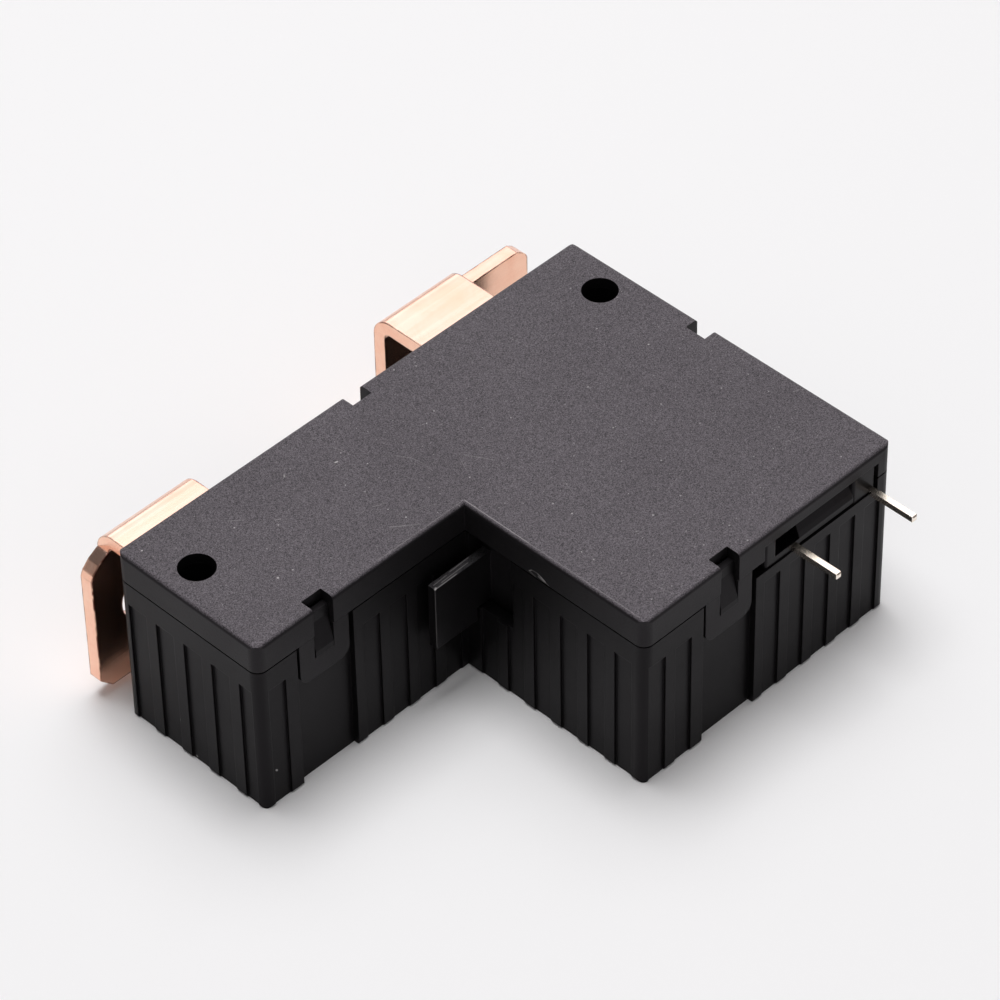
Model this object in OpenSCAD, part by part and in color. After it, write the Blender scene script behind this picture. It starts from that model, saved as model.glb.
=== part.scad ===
// Latching relay in an L-shaped two-part housing. The contacts lie in the long leg behind the
// terminal wall, and the coil and the rocking armature lie in the block beside the notch.
// The origin is the centre of the left mounting hole, on the base plane. X runs along the
// terminal wall to the right mounting hole, Y points out of that wall, and Z points up.
// Inside the modules lengths are counted from the terminal wall's left end instead, and
// from_corner() moves each finished piece to the origin.

/* [Housing] */
// Length of the coil block along the terminal wall
block_l = 33.6; // [32:0.1:42]
// Width over the coil block, from the terminal wall to the pin wall
body_w = 41.5; // [41.2:0.1:46]
// Height from the base to the top of the cover
body_h = 21; // [20:0.1:25]
// Width of the contact leg
leg_w = 18.7; // [18:0.1:20.4]
// Length of the contact leg beside the notch
notch_l = 26.4; // [25:0.1:34]
// Wall thickness of the case
wall_t = 1.4; // [1.2:0.05:1.6]
// Floor thickness of the case
floor_t = 1.5; // [1.2:0.1:1.8]
// Radius of the upright corners
corner_r = 1.1; // [0.9:0.05:1.3]
// Radius along the bottom edge
foot_r = 0.35; // [0.1:0.05:0.6]

/* [Cover] */
// Thickness of the cover plate
cover_t = 1.2; // [1:0.1:1.6]
// Depth of the cover skirt below the top face
skirt_drop = 3.25; // [2.9:0.05:3.8]
// Thickness of the cover skirt
skirt_t = 0.65; // [0.5:0.05:0.75]
// Radius along the top edge
edge_r = 0.45; // [0.2:0.05:0.6]
// Open line between the skirt and the case shoulder
seam_gap = 0.15; // [0.05:0.05:0.3]
// Fitting clearance between pieces that are assembled
fit = 0.05; // [0.02:0.01:0.1]

/* [Ribs] */
// Width of a raised rib on the walls
rib_w = 1.3; // [1:0.05:1.7]
// Pitch of the ribs
rib_pitch = 3.45; // [3.2:0.05:4]
// Pitch of the ribs on the short end wall
end_rib_pitch = 3.7; // [3.4:0.05:4]
// Depth of the fields between the ribs
field_d = 0.25; // [0.1:0.05:0.35]
// Height of the plain band above the fields, from the top face
band_drop = 6; // [5.4:0.1:8]

/* [Snaps] */
// Width of a snap strap
strap_w = 6.2; // [5.8:0.1:6.8]
// Lower end of a strap, from the top face
strap_drop = 8.5; // [8.2:0.1:10]
// Width of the window in a strap
window_w = 2.45; // [2:0.05:3]
// Lower edge of the window, from the top face
window_drop = 6.2; // [5.8:0.1:6.6]
// How far a strap's face is set back from the skirt
strap_in = 0.1; // [0.05:0.01:0.12]
// Depth of the line across a strap under the skirt's lower edge
strap_line_d = 0.15; // [0.1:0.01:0.2]
// Depth of the notch in the cover's top edge
notch_d = 1.6; // [1.2:0.05:1.7]
// Radius of the lower corners of a strap
strap_r = 1.2; // [0.4:0.1:1.6]
// Open gap beside the strap on its left
strap_gap_left = 0.4; // [0.2:0.05:0.5]
// Open gap beside the strap on its right
strap_gap_right = 0.5; // [0.3:0.05:0.6]
// Snap on the leg wall, from the left end of the housing
leg_snap = 8.35; // [8:0.05:9]
// Snap on the pin wall, from the notch wall
pin_snap = 11.35; // [11.1:0.05:11.6]
// Snap on the right end wall, from the terminal wall
end_snap = 17.85; // [17:0.1:19]
// Snap on the terminal wall, from the left end of the housing
back_snap = 29.95; // [27:0.1:31]

/* [Mounting holes] */
// Diameter of the two mounting holes
mount_d = 3.65; // [3.2:0.05:4]
// Wall of the tube round a mounting hole
mount_wall = 0.85; // [0.7:0.05:0.95]
// Distance of the left mounting hole from the left end of the housing
mount_in = 3.7; // [3.3:0.05:3.8]
// Distance of the right mounting hole from the right end of the housing
mount_right_in = 3.4; // [3.3:0.05:3.8]
// Distance of a mounting hole from the terminal wall
mount_y = 7; // [6.8:0.05:7.4]

/* [Lever and pin openings] */
// Lowest edge of the lever slot, from the top face
slot_drop = 12.2; // [12:0.1:12.8]
// Width of the lever slot
slot_w = 5.4; // [4.8:0.1:5.8]
// Distance of the lever slot from the leg wall
slot_in = 0.45; // [0.4:0.05:0.5]
// Left end of the pin opening, from the notch wall
pin_gap_start = 16.05; // [15.6:0.05:16.4]
// Right end of the pin opening, from the right end of the housing
pin_gap_end = 1.95; // [1.7:0.05:2.1]
// Upper edge of the pin opening, from the top face
pin_gap_top = 1.5; // [1.3:0.05:2]
// Lower edge of the pin opening, from the top face
pin_gap_low = 4.7; // [4.6:0.05:4.9]

/* [Terminals] */
// Thickness of the copper
copper_t = 1.5; // [1.2:0.1:1.6]
// Inside radius of the bends
bend_r = 0.8; // [0.6:0.1:1]
// Width of the fixed terminal's strip
fixed_w = 10.75; // [10:0.05:11]
// Width of the spring terminal's strip
spring_w = 9.95; // [9.6:0.05:10.2]
// Left edge of the fixed terminal's strip
fixed_in = 1.6; // [1.5:0.05:1.8]
// Reach of the fixed terminal in front of the wall
fixed_reach = 4.5; // [4.2:0.05:7]
// How far the fixed terminal's tab stands out past its strip
fixed_over = 2.3; // [2.1:0.1:3]
// Right edge of the spring terminal's tab, from the right end of the housing
tab_in = 0.4; // [0:0.1:1]
// How far the spring terminal's tab stands out past its strip
spring_over = 9.65; // [9.3:0.05:10]
// Reach of the spring terminal in front of the wall
spring_reach = 7.3; // [6.6:0.1:9]
// Height of the tabs' lower edge above the base
tab_z = 1; // [0.5:0.1:2]
// Upper edge of the fixed terminal's shoulder, from the top face
shoulder_drop = 3.5; // [3.45:0.05:5]
// Corner cut of the fixed terminal's shoulder
shoulder_cut = 2.2; // [1:0.1:3]
// Corner cut of the other tab corners
tab_cut = 1.4; // [0.5:0.1:2]
// Depth of the relief notch beside a bend
relief = 0.4; // [0.3:0.1:0.8]
// Diameter of the screw holes in the tabs
screw_d = 6; // [5:0.1:6.4]
// Height of the screw holes above the base
screw_z = 9.9; // [9:0.05:10.4]
// Distance of a screw hole from the tab's outer edge
screw_in = 6.4; // [5.8:0.1:7]

/* [Contacts] */
// Distance of the contacts from the left end of the housing
contact_x = 9.3; // [9.1:0.1:9.5]
// Height between the two contacts
contact_pitch = 5.6; // [5.3:0.1:6]
// Head diameter of a fixed contact
contact_d = 4.4; // [3.8:0.1:4.6]
// Head thickness of a contact
contact_t = 1.2; // [1:0.05:1.3]
// Air gap left at rest between a closed pair of contacts
contact_play = 0.06; // [0.04:0.01:0.1]
// Distance of the fixed terminal's blade face from the terminal wall
blade_y = 3.8; // [3.7:0.05:3.85]
// Thickness of the contact spring
leaf_t = 0.5; // [0.4:0.05:0.55]
// Thickness of the backing spring
backing_t = 0.3; // [0.2:0.05:0.35]
// Height of the springs' lower edge above the floor
leaf_foot = 3.7; // [3:0.1:4.4]
// Clearance between the springs and the card's arm above them
leaf_play = 0.1; // [0.1:0.05:0.3]
// Free length of the spring past the contacts' centre
leaf_tip = 2.4; // [2.2:0.1:2.6]
// Inside radius of the loop in the contact spring
loop_r = 1.1; // [0.8:0.1:1.4]
// Distance of the loop's middle from the spring's clamped end
loop_in = 3.3; // [3:0.1:3.6]
// Width of the slit between the spring's two tongues
slit_w = 0.8; // [0.6:0.1:1]
// Length of the slit
slit_l = 16; // [12:0.5:17]
// How far the backing spring's ends stay back from the free end and from the loop
backing_in = 0.4; // [0.3:0.05:0.6]
// How far the spring's root stands out past its terminal's blade
root_ahead = 1.2; // [1:0.05:1.4]
// Rise of a contact's domed face
contact_dome = 0.12; // [0.08:0.01:0.2]
// Thickness of the collar that a contact is riveted with
collar_t = 0.4; // [0.3:0.05:0.5]
// Diameter of the rivets that hold the spring on its terminal
rivet_d = 2.4; // [2:0.1:2.6]
// Head diameter of these rivets
rivet_head_d = 3.6; // [3.2:0.1:3.8]
// Head thickness of these rivets
rivet_head_t = 0.7; // [0.5:0.1:0.9]
// Distance of the left rivet from the left edge of the blade
rivet_in_left = 2.5; // [2.2:0.1:2.8]
// Distance of the right rivet from the right edge of the blade
rivet_in_right = 2.9; // [2.6:0.1:3.2]

/* [Pusher card] */
// Thickness of the card and its arm
card_t = 1.4; // [1.2:0.05:1.5]
// Room between the card and the cover plate
card_drop = 2.3; // [2.1:0.1:2.6]
// Play beside and under the card
card_play = 0.2; // [0.15:0.05:0.3]
// Distance of the fork from the left end of the housing
fork_x = 14.2; // [13.8:0.1:15]
// Width of the card's arm over the spring
arm_w = 1.7; // [1.5:0.1:1.9]
// Width of the fork's root
fork_w = 2.2; // [1.8:0.1:2.6]
// Reach of the fork's root past its front nose
fork_over = 0.9; // [0.7:0.05:1.1]
// Radius of the noses that hold the spring
nose_r = 0.6; // [0.5:0.05:0.7]
// Clearance between a nose and the spring
nose_play = 0.08; // [0.05:0.01:0.12]
// Width of the card's web in front of and behind its window
web_side = 2.6; // [2.2:0.1:3]
// Width of the card's web below and above its window
web_edge = 3.5; // [3:0.1:4]
// Radius of the corners of the web
web_r = 0.8; // [0.5:0.1:1]
// Thickness of the jaws that take the armature's arm
jaw_t = 1.2; // [1:0.05:1.4]
// Height of the jaws
jaw_h = 6; // [5.6:0.1:6.6]
// Reach of the web past the front jaw
web_over = 1; // [0.6:0.1:1.4]
// Thickness of the lever blade
lever_t = 0.95; // [0.8:0.05:1.1]
// Length of the lever in front of the notch wall
lever_l = 5.65; // [4.5:0.05:6.2]
// Height of the lever blade
lever_h = 7.7; // [7:0.1:8]
// Upper edge of the lever, from the top face
lever_drop = 5.95; // [5.6:0.05:6.2]
// Distance of the lever from the leg wall
lever_in = 0.7; // [0.65:0.05:0.8]
// Gap between the lever blade and the notch wall
lever_gap = 0.3; // [0.2:0.05:0.4]

/* [Armature] */
// Distance of the armature's axis from the notch wall
pivot_x = 13.2; // [12.9:0.1:13.4]
// Distance of the armature's axis from the pin wall
pivot_y = 12.3; // [12.1:0.1:12.6]
// Diameter of the armature shaft
shaft_d = 1.5; // [1.2:0.1:1.6]
// Depth of the shaft's seat in the floor
shaft_in = 0.7; // [0.5:0.05:0.8]
// Distance of the shaft's upper end under the cover plate
shaft_under = 1.2; // [0.9:0.1:1.5]
// Wall of the bosses that hold the shaft
boss_wall = 1.5; // [1.2:0.1:1.8]
// Height of the lower boss above the floor
boss_h = 1.2; // [1:0.05:1.3]
// How far the cover's boss reaches below the upper edge of the card
boss_drop = 1.1; // [0.9:0.05:1.3]
// Play of the armature's carrier between the bosses
axial_play = 0.3; // [0.2:0.05:0.4]
// Radial clearance of the shaft in the armature
shaft_play = 0.05; // [0.02:0.01:0.08]
// Half angle of the armature's swing
swing = 6; // [5:0.1:6]
// Length of the armature's arm
arm_l = 9; // [8.8:0.1:9.1]
// Thickness of the armature's arm
arm_t = 1.6; // [1.4:0.1:1.8]
// Height of the armature's arm
arm_h = 5; // [4.6:0.1:5.4]
// Length of the arm's thicker root
arm_root = 1; // [0.6:0.1:1.4]
// Radius of the arm's tip
tip_r = 1; // [0.8:0.05:1.1]
// Clearance of the arm's tip in the card
tip_play = 0.06; // [0.03:0.01:0.1]
// Thickness of the armature plates
plate_t = 1.4; // [1.2:0.1:1.5]
// Half length of the armature plates
plate_l = 8.2; // [7.8:0.1:8.3]
// How far the plates' edges stay inside the height of the yokes
plate_in = 0.85; // [0.5:0.05:1.2]
// Radius of the upright edges of the plates
plate_r = 0.25; // [0.1:0.05:0.4]
// Gap between the armature plates, filled by the magnets
pole_gap = 3.4; // [3.4:0.05:3.6]
// Length of one magnet
magnet_l = 2.5; // [2:0.1:2.7]
// Distance between a magnet and the shaft's centre
magnet_in = 1.5; // [1.3:0.05:1.7]
// How far the magnets stay inside the height of the plates
magnet_under = 0.5; // [0.3:0.1:0.7]
// Wall of the carrier past the magnets
carrier_end = 0.3; // [0.2:0.05:0.4]
// Radius of the upright edges of the carrier
carrier_r = 0.6; // [0.4:0.1:0.8]
// Wall of the carrier's hub round the shaft
hub_wall = 1.3; // [1.1:0.1:1.4]
// How far the hub stands out above and below the carrier
hub_over = 0.4; // [0.3:0.05:0.5]
// Wall of the carrier round the plates
carrier_wall = 1.1; // [0.8:0.1:1.3]

/* [Coil] */
// Clearance between the bobbin and the right end wall
coil_play = 0.5; // [0.3:0.05:0.8]
// Clearance between the bobbin and the turning armature
coil_gap = 1.05; // [0.6:0.05:1.4]
// Diameter of the core
core_d = 6; // [5.5:0.1:6.4]
// Diameter of the core's riveted ends
core_end_d = 4.5; // [4:0.1:5]
// Gap between the rear yoke and the wall behind it
partition_gap = 3.4; // [2.8:0.1:3.8]
// Thickness of the wall between the contacts and the coil
partition_t = 1.2; // [0.8:0.1:1.4]
// Thickness of the yokes
yoke_t = 1.5; // [1.3:0.05:1.5]
// Height of the yokes' lower edge above the floor
yoke_foot = 3; // [2.5:0.1:3.5]
// Distance of the yokes' upper edge under the pins
yoke_under = 0.95; // [0.7:0.05:1.2]
// How far the yokes end short of the bobbin's right side
yoke_short = 1; // [0.6:0.1:1.4]
// Inside radius of the yokes' bends
yoke_r = 0.5; // [0.3:0.1:0.7]
// Distance of the pole tips' ends from the armature's axis
pole_in = 4.9; // [4.7:0.1:5.1]
// Half distance between the inner faces of the yokes
yoke_span = 9; // [8.9:0.05:9.1]
// How far the bobbin flanges stand above and below the yokes
flange_over = 0.8; // [0.4:0.1:1]
// Thickness of the bobbin's flanges
flange_t = 1; // [0.8:0.05:1.2]
// Radius of the flanges' corners
flange_r = 0.8; // [0.5:0.1:1]
// Thickness of the bobbin's tube
bobbin_t = 0.7; // [0.5:0.05:0.8]
// Gap between the front yoke and the bobbin's block over it
block_gap = 0.3; // [0.2:0.05:0.35]
// Height of this block above the middle of the pins
block_over = 1.4; // [1.2:0.1:1.6]
// Depth of the winding's surface inside the edge of the flanges
winding_in = 0.6; // [0.4:0.1:0.8]
// Thickness of the tape round the winding
tape_t = 0.15; // [0.1:0.05:0.2]
// Gap between the tape and the rear flange
tape_in = 0.5; // [0.3:0.1:0.8]
// Room for the wires between the front flange and the tape
wire_room = 1.2; // [1:0.05:1.4]
// Diameter of the winding's wire ends
wire_d = 0.3; // [0.2:0.05:0.35]
// Width of a square coil pin
pin_w = 0.65; // [0.5:0.05:0.8]
// Length of the coil pins in front of the pin wall
pin_out = 5.5; // [4:0.1:7]
// Distance of the left pin from the bobbin's left side
pin_in_left = 1.3; // [1:0.05:1.6]
// Distance of the right pin from the bobbin's right side
pin_in_right = 1; // [0.8:0.05:1.2]
// Height of the coil pins, from the top face
pin_drop = 4.35; // [4.3:0.05:4.4]
// How far a pin reaches in past its wire
pin_past = 0.2; // [0.1:0.05:0.3]
// Chamfer round a pin's outer end
pin_chamfer = 0.12; // [0.05:0.01:0.2]
// Play between the bobbin's front and the edges of the pin opening
front_play = 0.2; // [0.1:0.05:0.3]
// Distance of the bobbin's front from the pin wall's face
front_in = 0.15; // [0.1:0.01:0.25]
// Width of the bobbin's left lug
lug_left = 1.6; // [1.2:0.1:2]
// Width of the bobbin's right lug
lug_right = 3.1; // [2.7:0.1:3.3]
// Radius of the lugs' upright edges
lug_r = 0.35; // [0.2:0.05:0.5]
// Left end of the bar between the lugs, from the middle of the left pin
bar_in = 0.75; // [0.6:0.05:0.9]
// Thickness of the shelf over the left pin
shelf_t = 0.2; // [0.15:0.05:0.4]
// Height of the upright part of the bar's face
bar_face = 0.85; // [0.6:0.05:1.1]
// Chamfer along the lower edge of the bar
bar_chamfer = 0.2; // [0.1:0.05:0.3]
// Depth of the bar's sloped face
bar_slope = 0.75; // [0.5:0.05:1.1]

/* [Seats on the floor] */
// Thickness of the ribs that hold a blade's lower end
seat_t = 0.8; // [0.6:0.05:1]
// Height of these ribs above the floor
seat_h = 2.6; // [2:0.1:3]
// How far a yoke's seat stands out past the yoke
seat_over = 0.4; // [0.3:0.05:0.6]
// Thickness of the rail and the posts that guide the card
rail_t = 1; // [0.8:0.05:1.1]
// Height of the rail and the posts above the card's lower edge
rail_h = 3; // [2.4:0.1:3.4]
// Length of the rail beside the card
rail_l = 14; // [10:0.5:16]
// Length of the guide posts along the card
post_l = 2; // [1.6:0.1:2.4]
// Gap between the card and the end of the wall between contacts and coil
partition_in = 3; // [2.6:0.1:3.4]
// Gap between that wall and the cover plate
partition_under = 1.5; // [1:0.1:2]

/* [Hidden] */
$fn = 48;

// Colours of the pieces
black_plastic = "#3a393d";
wall_plastic = "#2c2c30";
copper = "#e8a987";
tinned = "#d9dadb";
silver = "#c9ccd0";
steel = "#8d9196";
winding_copper = "#b0602c";
tape_yellow = "#c9a53a";

// Overall length and heights of the housing
body_l = notch_l + block_l;
plate_z = body_h - cover_t;
card_top = plate_z - card_drop;
deck_z = card_top - card_t;
seam_z = body_h - skirt_drop;
shoulder_z = seam_z - seam_gap;
band_z = body_h - band_drop;
strap_z = body_h - strap_drop;
window_z = body_h - window_drop;
lip_in = skirt_t + fit;
block_w = body_w - leg_w;
cut = 1;

// Strap recess, left and right of a snap's centre
recess_left = strap_w / 2 + strap_gap_left;
recess_right = strap_w / 2 + strap_gap_right;

// Bends of the terminals
bend_out = bend_r + copper_t;
bend_z = plate_z - bend_out;
strip_z = plate_z - copper_t;
spring_x1 = body_l - tab_in - spring_over;
spring_x0 = spring_x1 - spring_w;
fixed_x1 = fixed_in + fixed_w;
strip_ends = [[fixed_in, fixed_x1], [spring_x0, spring_x1]];

// Springs, seen from above: the leaves lie behind the moving contacts
leaf_y = -blade_y - 2 * contact_t - contact_play;
leaf_z = floor_t + leaf_foot;
leaf_h = deck_z - leaf_play - leaf_z;
leaf_mid_z = leaf_z + leaf_h / 2;
contacts_z = [leaf_mid_z - contact_pitch / 2, leaf_mid_z + contact_pitch / 2];
hinge_x = spring_x0 - root_ahead;
leaf_x = [contact_x - leaf_tip, hinge_x - fit];
loop_x = leaf_x[1] - loop_in;
loop_out = loop_r + leaf_t;

// Rivets: the two that hold the spring on its terminal, and the shanks of the contacts
rivets_x = [spring_x0 + rivet_in_left, spring_x1 - rivet_in_right];
fixed_shank_d = contact_d / 2;
moving_shank_d = contact_d * 0.45;

// Half length and half width of the armature's carrier
carrier_x = pole_gap / 2 + plate_t + carrier_wall;
carrier_y = magnet_in + magnet_l + carrier_end;

// Armature and card in the rest pose, with the card pushed towards the terminal wall
axis_x = notch_l + pivot_x;
axis_y = pivot_y - body_w;
tip_x = axis_x - arm_l * cos(swing);
tip_y = axis_y + arm_l * sin(swing);
card_x = notch_l + wall_t + card_play;
card_z = floor_t + card_play;
arm_y = leaf_y - leaf_t - backing_t - nose_play - nose_r - arm_w;
lever_y = -leg_w - lever_in;
lever_z = body_h - lever_drop - lever_h;
slot_z = body_h - slot_drop;

// Bosses and ends of the armature's shaft, between the floor and the cover
boss_d = shaft_d + 2 * boss_wall;
boss_z = card_top - boss_drop;
shaft_low = floor_t - shaft_in;
shaft_high = plate_z - shaft_under;

// Coil
bobbin_x0 = axis_x + carrier_x * cos(swing) + carrier_y * sin(swing) + coil_gap;
bobbin_x1 = body_l - wall_t - coil_play;
coil_x = (bobbin_x0 + bobbin_x1) / 2;
pin_z = body_h - pin_drop;
pins_x = [bobbin_x0 + pin_in_left, bobbin_x1 - pin_in_right];
yoke_z = floor_t + yoke_foot;
yoke_h = pin_z - yoke_under - yoke_z;
yoke_x1 = bobbin_x1 - yoke_short;
coil_z = yoke_z + yoke_h / 2;
plate_h = yoke_h - 2 * plate_in;
flange_h = yoke_h + 2 * flange_over;
block_z = yoke_z + yoke_h + block_gap;
winding_d = min(bobbin_x1 - bobbin_x0, flange_h) - 2 * winding_in;
tube_d = core_d + 2 * fit + 2 * bobbin_t;
partition_y = axis_y + yoke_span + yoke_t + partition_gap;

// Between the bobbin's flanges: wires, tape and winding along Y
front_y = axis_y - yoke_span;
rear_y = axis_y + yoke_span;
wire_y = [front_y + flange_t + 2 * fit, front_y + flange_t + wire_room];

// The walls in their own frames: start, turn, runs of ribs as [from, to, pitch], snaps.
// In a wall's frame X runs along the wall and -Y points out of the housing.
walls = [
    [[0, 0], -90, [[1.25, leg_w - 1, end_rib_pitch]], []],
    [[0, -leg_w], 0, [[1.2, leg_snap - recess_left, rib_pitch],
        [leg_snap + recess_right + 1.15, notch_l, rib_pitch]], [leg_snap]],
    [[notch_l, -leg_w], -90, [[1.8, block_w - 1.6, rib_pitch]], []],
    [[notch_l, -body_w], 0, [[0.7, pin_snap - recess_left, rib_pitch],
        [pin_snap + recess_right + 1.15, block_l - 1.5, rib_pitch]], [pin_snap]],
    [[body_l, -body_w], 90, [[0.85, body_w - end_snap - recess_left, rib_pitch],
        [body_w - end_snap + recess_right + 0.85, body_w - 0.6, rib_pitch]],
        [body_w - end_snap]],
    [[body_l, 0], 180, [[0.85, body_l - back_snap - recess_left, rib_pitch],
        [body_l - back_snap + recess_right + 0.85, body_l - 0.6, rib_pitch]],
        [body_l - back_snap]]
];

// Moves children from the corner that lengths are counted from to the origin
module from_corner() {
    translate([-mount_in, mount_y, 0]) children();
}

// Places children in a wall's own frame
module on_wall(wall) {
    translate(wall[0]) rotate([0, 0, wall[1]]) children();
}

// Places children at every snap, in the wall's own frame
module at_snaps() {
    for (wall = walls) {
        on_wall(wall) {
            for (s = wall[3]) {
                translate([s, 0, 0]) children();
            }
        }
    }
}

// Rectangle with round corners
module rounded_rect(x0, y0, x1, y1, r) {
    union() {
        translate([x0 + r, y0]) square([x1 - x0 - 2 * r, y1 - y0]);
        translate([x0, y0 + r]) square([x1 - x0, y1 - y0 - 2 * r]);
        for (x = [x0 + r, x1 - r], y = [y0 + r, y1 - r]) {
            translate([x, y]) circle(r);
        }
    }
}

// Side view of a block with its upper and lower corners rounded, each radius may be 0
module edge_profile(a0, a1, z0, z1, r_top, r_foot) {
    union() {
        translate([a0, z0 + r_foot]) square([a1 - a0, z1 - z0 - r_top - r_foot]);
        if (r_top > 0) {
            translate([a0 + r_top, z1 - 2 * r_top]) square([a1 - a0 - 2 * r_top, 2 * r_top]);
            for (a = [a0 + r_top, a1 - r_top]) {
                translate([a, z1 - r_top]) circle(r_top);
            }
        }
        if (r_foot > 0) {
            translate([a0 + r_foot, z0]) square([a1 - a0 - 2 * r_foot, 2 * r_foot]);
            for (a = [a0 + r_foot, a1 - r_foot]) {
                translate([a, z0 + r_foot]) circle(r_foot);
            }
        }
    }
}

// Block with round upright corners and rounded upper or lower edges
module rounded_block(x0, x1, y0, y1, z0, z1, r, r_top, r_foot) {
    intersection() {
        translate([0, 0, z0]) linear_extrude(z1 - z0) rounded_rect(x0, y0, x1, y1, r);
        translate([0, y1, 0]) rotate([90, 0, 0]) linear_extrude(y1 - y0)
            edge_profile(x0, x1, z0, z1, r_top, r_foot);
        translate([x0, 0, 0]) rotate([90, 0, 90]) linear_extrude(x1 - x0)
            edge_profile(y0, y1, z0, z1, r_top, r_foot);
    }
}

// The L shape of the housing between two heights
module housing_block(z0, z1, r_top, r_foot) {
    union() {
        rounded_block(0, body_l, -leg_w, 0, z0, z1, corner_r, r_top, r_foot);
        rounded_block(notch_l, body_l, -body_w, 0, z0, z1, corner_r, r_top, r_foot);
    }
}

// The L shape set in from the outer walls, as an upright prism
module inset_prism(z0, z1, inset) {
    r = max(corner_r - inset, 0.2);
    translate([0, 0, z0]) linear_extrude(z1 - z0) union() {
        rounded_rect(inset, inset - leg_w, body_l - inset, -inset, r);
        rounded_rect(notch_l + inset, inset - body_w, body_l - inset, -inset, r);
    }
}

// Box between two corners
module box(a, b) {
    translate(a) cube(b - a);
}

// Upright cylinder at a place, between two heights
module post(x, y, z0, z1, d) {
    translate([x, y, z0]) cylinder(h = z1 - z0, d = d);
}

// Cylinder along Y, between two places on it
module rod_y(x, z, y0, y1, d) {
    translate([x, y1, z]) rotate([90, 0, 0]) cylinder(h = y1 - y0, d = d);
}

// The two mounting holes, or posts round them
module mounts(z0, z1, d) {
    for (x = [mount_in, body_l - mount_right_in]) {
        post(x, -mount_y, z0, z1, d);
    }
}

// Sunk fields between the ribs of one run
module fields(run) {
    for (a = [run[0] : run[2] : run[1] - 0.9]) {
        width = min(run[2] - rib_w, run[1] - a);
        box([a, -cut, -cut], [a + width, field_d, band_z]);
    }
}

// Sloped catch on the case that a strap's window drops over
module catch() {
    half = window_w / 2 - 2 * fit;
    ledge = window_z + fit;
    translate([-half, 0, 0]) rotate([90, 0, 90]) linear_extrude(2 * half)
        polygon([[lip_in + 0.1, ledge], [fit, ledge], [fit, ledge + 0.7],
            [lip_in, plate_z - 1.2], [lip_in + 0.1, plate_z - 1.2]]);
}

// Everything that is cut out of the case from outside
module case_cuts() {
    for (wall = walls) {
        on_wall(wall) {
            for (run = wall[2]) {
                fields(run);
            }
        }
    }
    // recesses that the straps lie in
    at_snaps() box([-recess_left, -cut, -cut], [recess_right, lip_in, shoulder_z + cut]);
    // slot for the lever in the notch wall
    on_wall(walls[2]) box([slot_in, -cut, slot_z], [slot_in + slot_w, wall_t + cut, body_h]);
    // gap over the pin wall for the coil pins
    on_wall(walls[3]) box([pin_snap + recess_right, -cut, body_h - pin_gap_low],
        [block_l - pin_gap_end, wall_t + fit, body_h]);
    // slots for the terminal strips
    for (ends = strip_ends) {
        box([ends[0] - fit, -wall_t - fit, strip_z - fit], [ends[1] + fit, cut, body_h]);
    }
    mounts(-cut, body_h, mount_d);
}

// Tongues of the terminal wall that fill the skirt's gaps below the strips
module case_tongues() {
    for (ends = strip_ends) {
        box([ends[0], -wall_t, shoulder_z - cut], [ends[1], 0, strip_z - fit]);
    }
}

// Ribs and bosses that stand on the floor
module case_inside() {
    // tubes round the mounting holes
    mounts(floor_t - fit, plate_z, mount_d + 2 * mount_wall);
    // seat of the armature shaft
    post(axis_x, axis_y, floor_t - fit, floor_t + boss_h, boss_d);
    // wall between the contacts and the coil
    box([card_x + card_t + partition_in, partition_y, floor_t - fit],
        [body_l - wall_t + fit, partition_y + partition_t, plate_z - partition_under]);
    // seats of the yokes, in front of and behind the bobbin
    for (side = [-1, 1]) {
        y_in = axis_y + side * (yoke_span + fit);
        y_out = axis_y + side * (yoke_span + yoke_t + seat_over);
        box([bobbin_x0 + seat_over, min(y_in, y_out), floor_t - fit],
            [yoke_x1, max(y_in, y_out), yoke_z]);
    }
    // rail beside the card, and a pair of posts that guide its front end
    card_right = card_x + card_t + card_play;
    box([card_right, axis_y - rail_l / 2, floor_t - fit],
        [card_right + rail_t, axis_y + rail_l / 2, card_z + rail_h]);
    for (x = [card_x - card_play - rail_t, card_right]) {
        box([x, partition_y + partition_t, floor_t - fit],
            [x + rail_t, partition_y + partition_t + post_l, card_z + rail_h]);
    }
    // slots that hold the lower ends of the two blades
    blade_seat(mount_in + mount_d / 2 + mount_wall + seat_t, fixed_x1, -blade_y);
    blade_seat(spring_x0, spring_x1, leaf_y);
}

// Pair of ribs on either side of a blade whose front face lies at y
module blade_seat(x0, x1, y) {
    for (low_y = [y - fit - seat_t, y + copper_t + fit]) {
        box([x0, low_y, floor_t - fit], [x1, low_y + seat_t, floor_t + seat_h]);
    }
}

module case_body() {
    color(wall_plastic) from_corner() difference() {
        union() {
            difference() {
                union() {
                    housing_block(0, shoulder_z, 0, foot_r);
                    inset_prism(shoulder_z - cut, plate_z, lip_in);
                    case_tongues();
                }
                inset_prism(floor_t, body_h, wall_t);
                case_cuts();
            }
            case_inside();
            at_snaps() catch();
        }
        mounts(-cut, body_h, mount_d);
        post(axis_x, axis_y, shaft_low, body_h, shaft_d);
    }
}

// Strap of the cover with its window still closed, in a wall's frame
module strap() {
    translate([0, skirt_t, 0]) rotate([90, 0, 0]) linear_extrude(skirt_t - strap_in) union() {
        rounded_rect(-strap_w / 2, strap_z, strap_w / 2, seam_z, strap_r);
        translate([-strap_w / 2, strap_z + strap_r])
            square([strap_w, seam_z + cut - strap_z - strap_r]);
    }
}

// Window of a strap, the notch above it and the line across its arms
module strap_window() {
    half = window_w / 2;
    box([-strap_w, -cut, shoulder_z], [strap_w, strap_in + strap_line_d, seam_z]);
    box([-half, -cut, window_z], [half, lip_in, plate_z]);
    box([-half, -cut, plate_z - cut], [half, notch_d, body_h + cut]);
}

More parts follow.
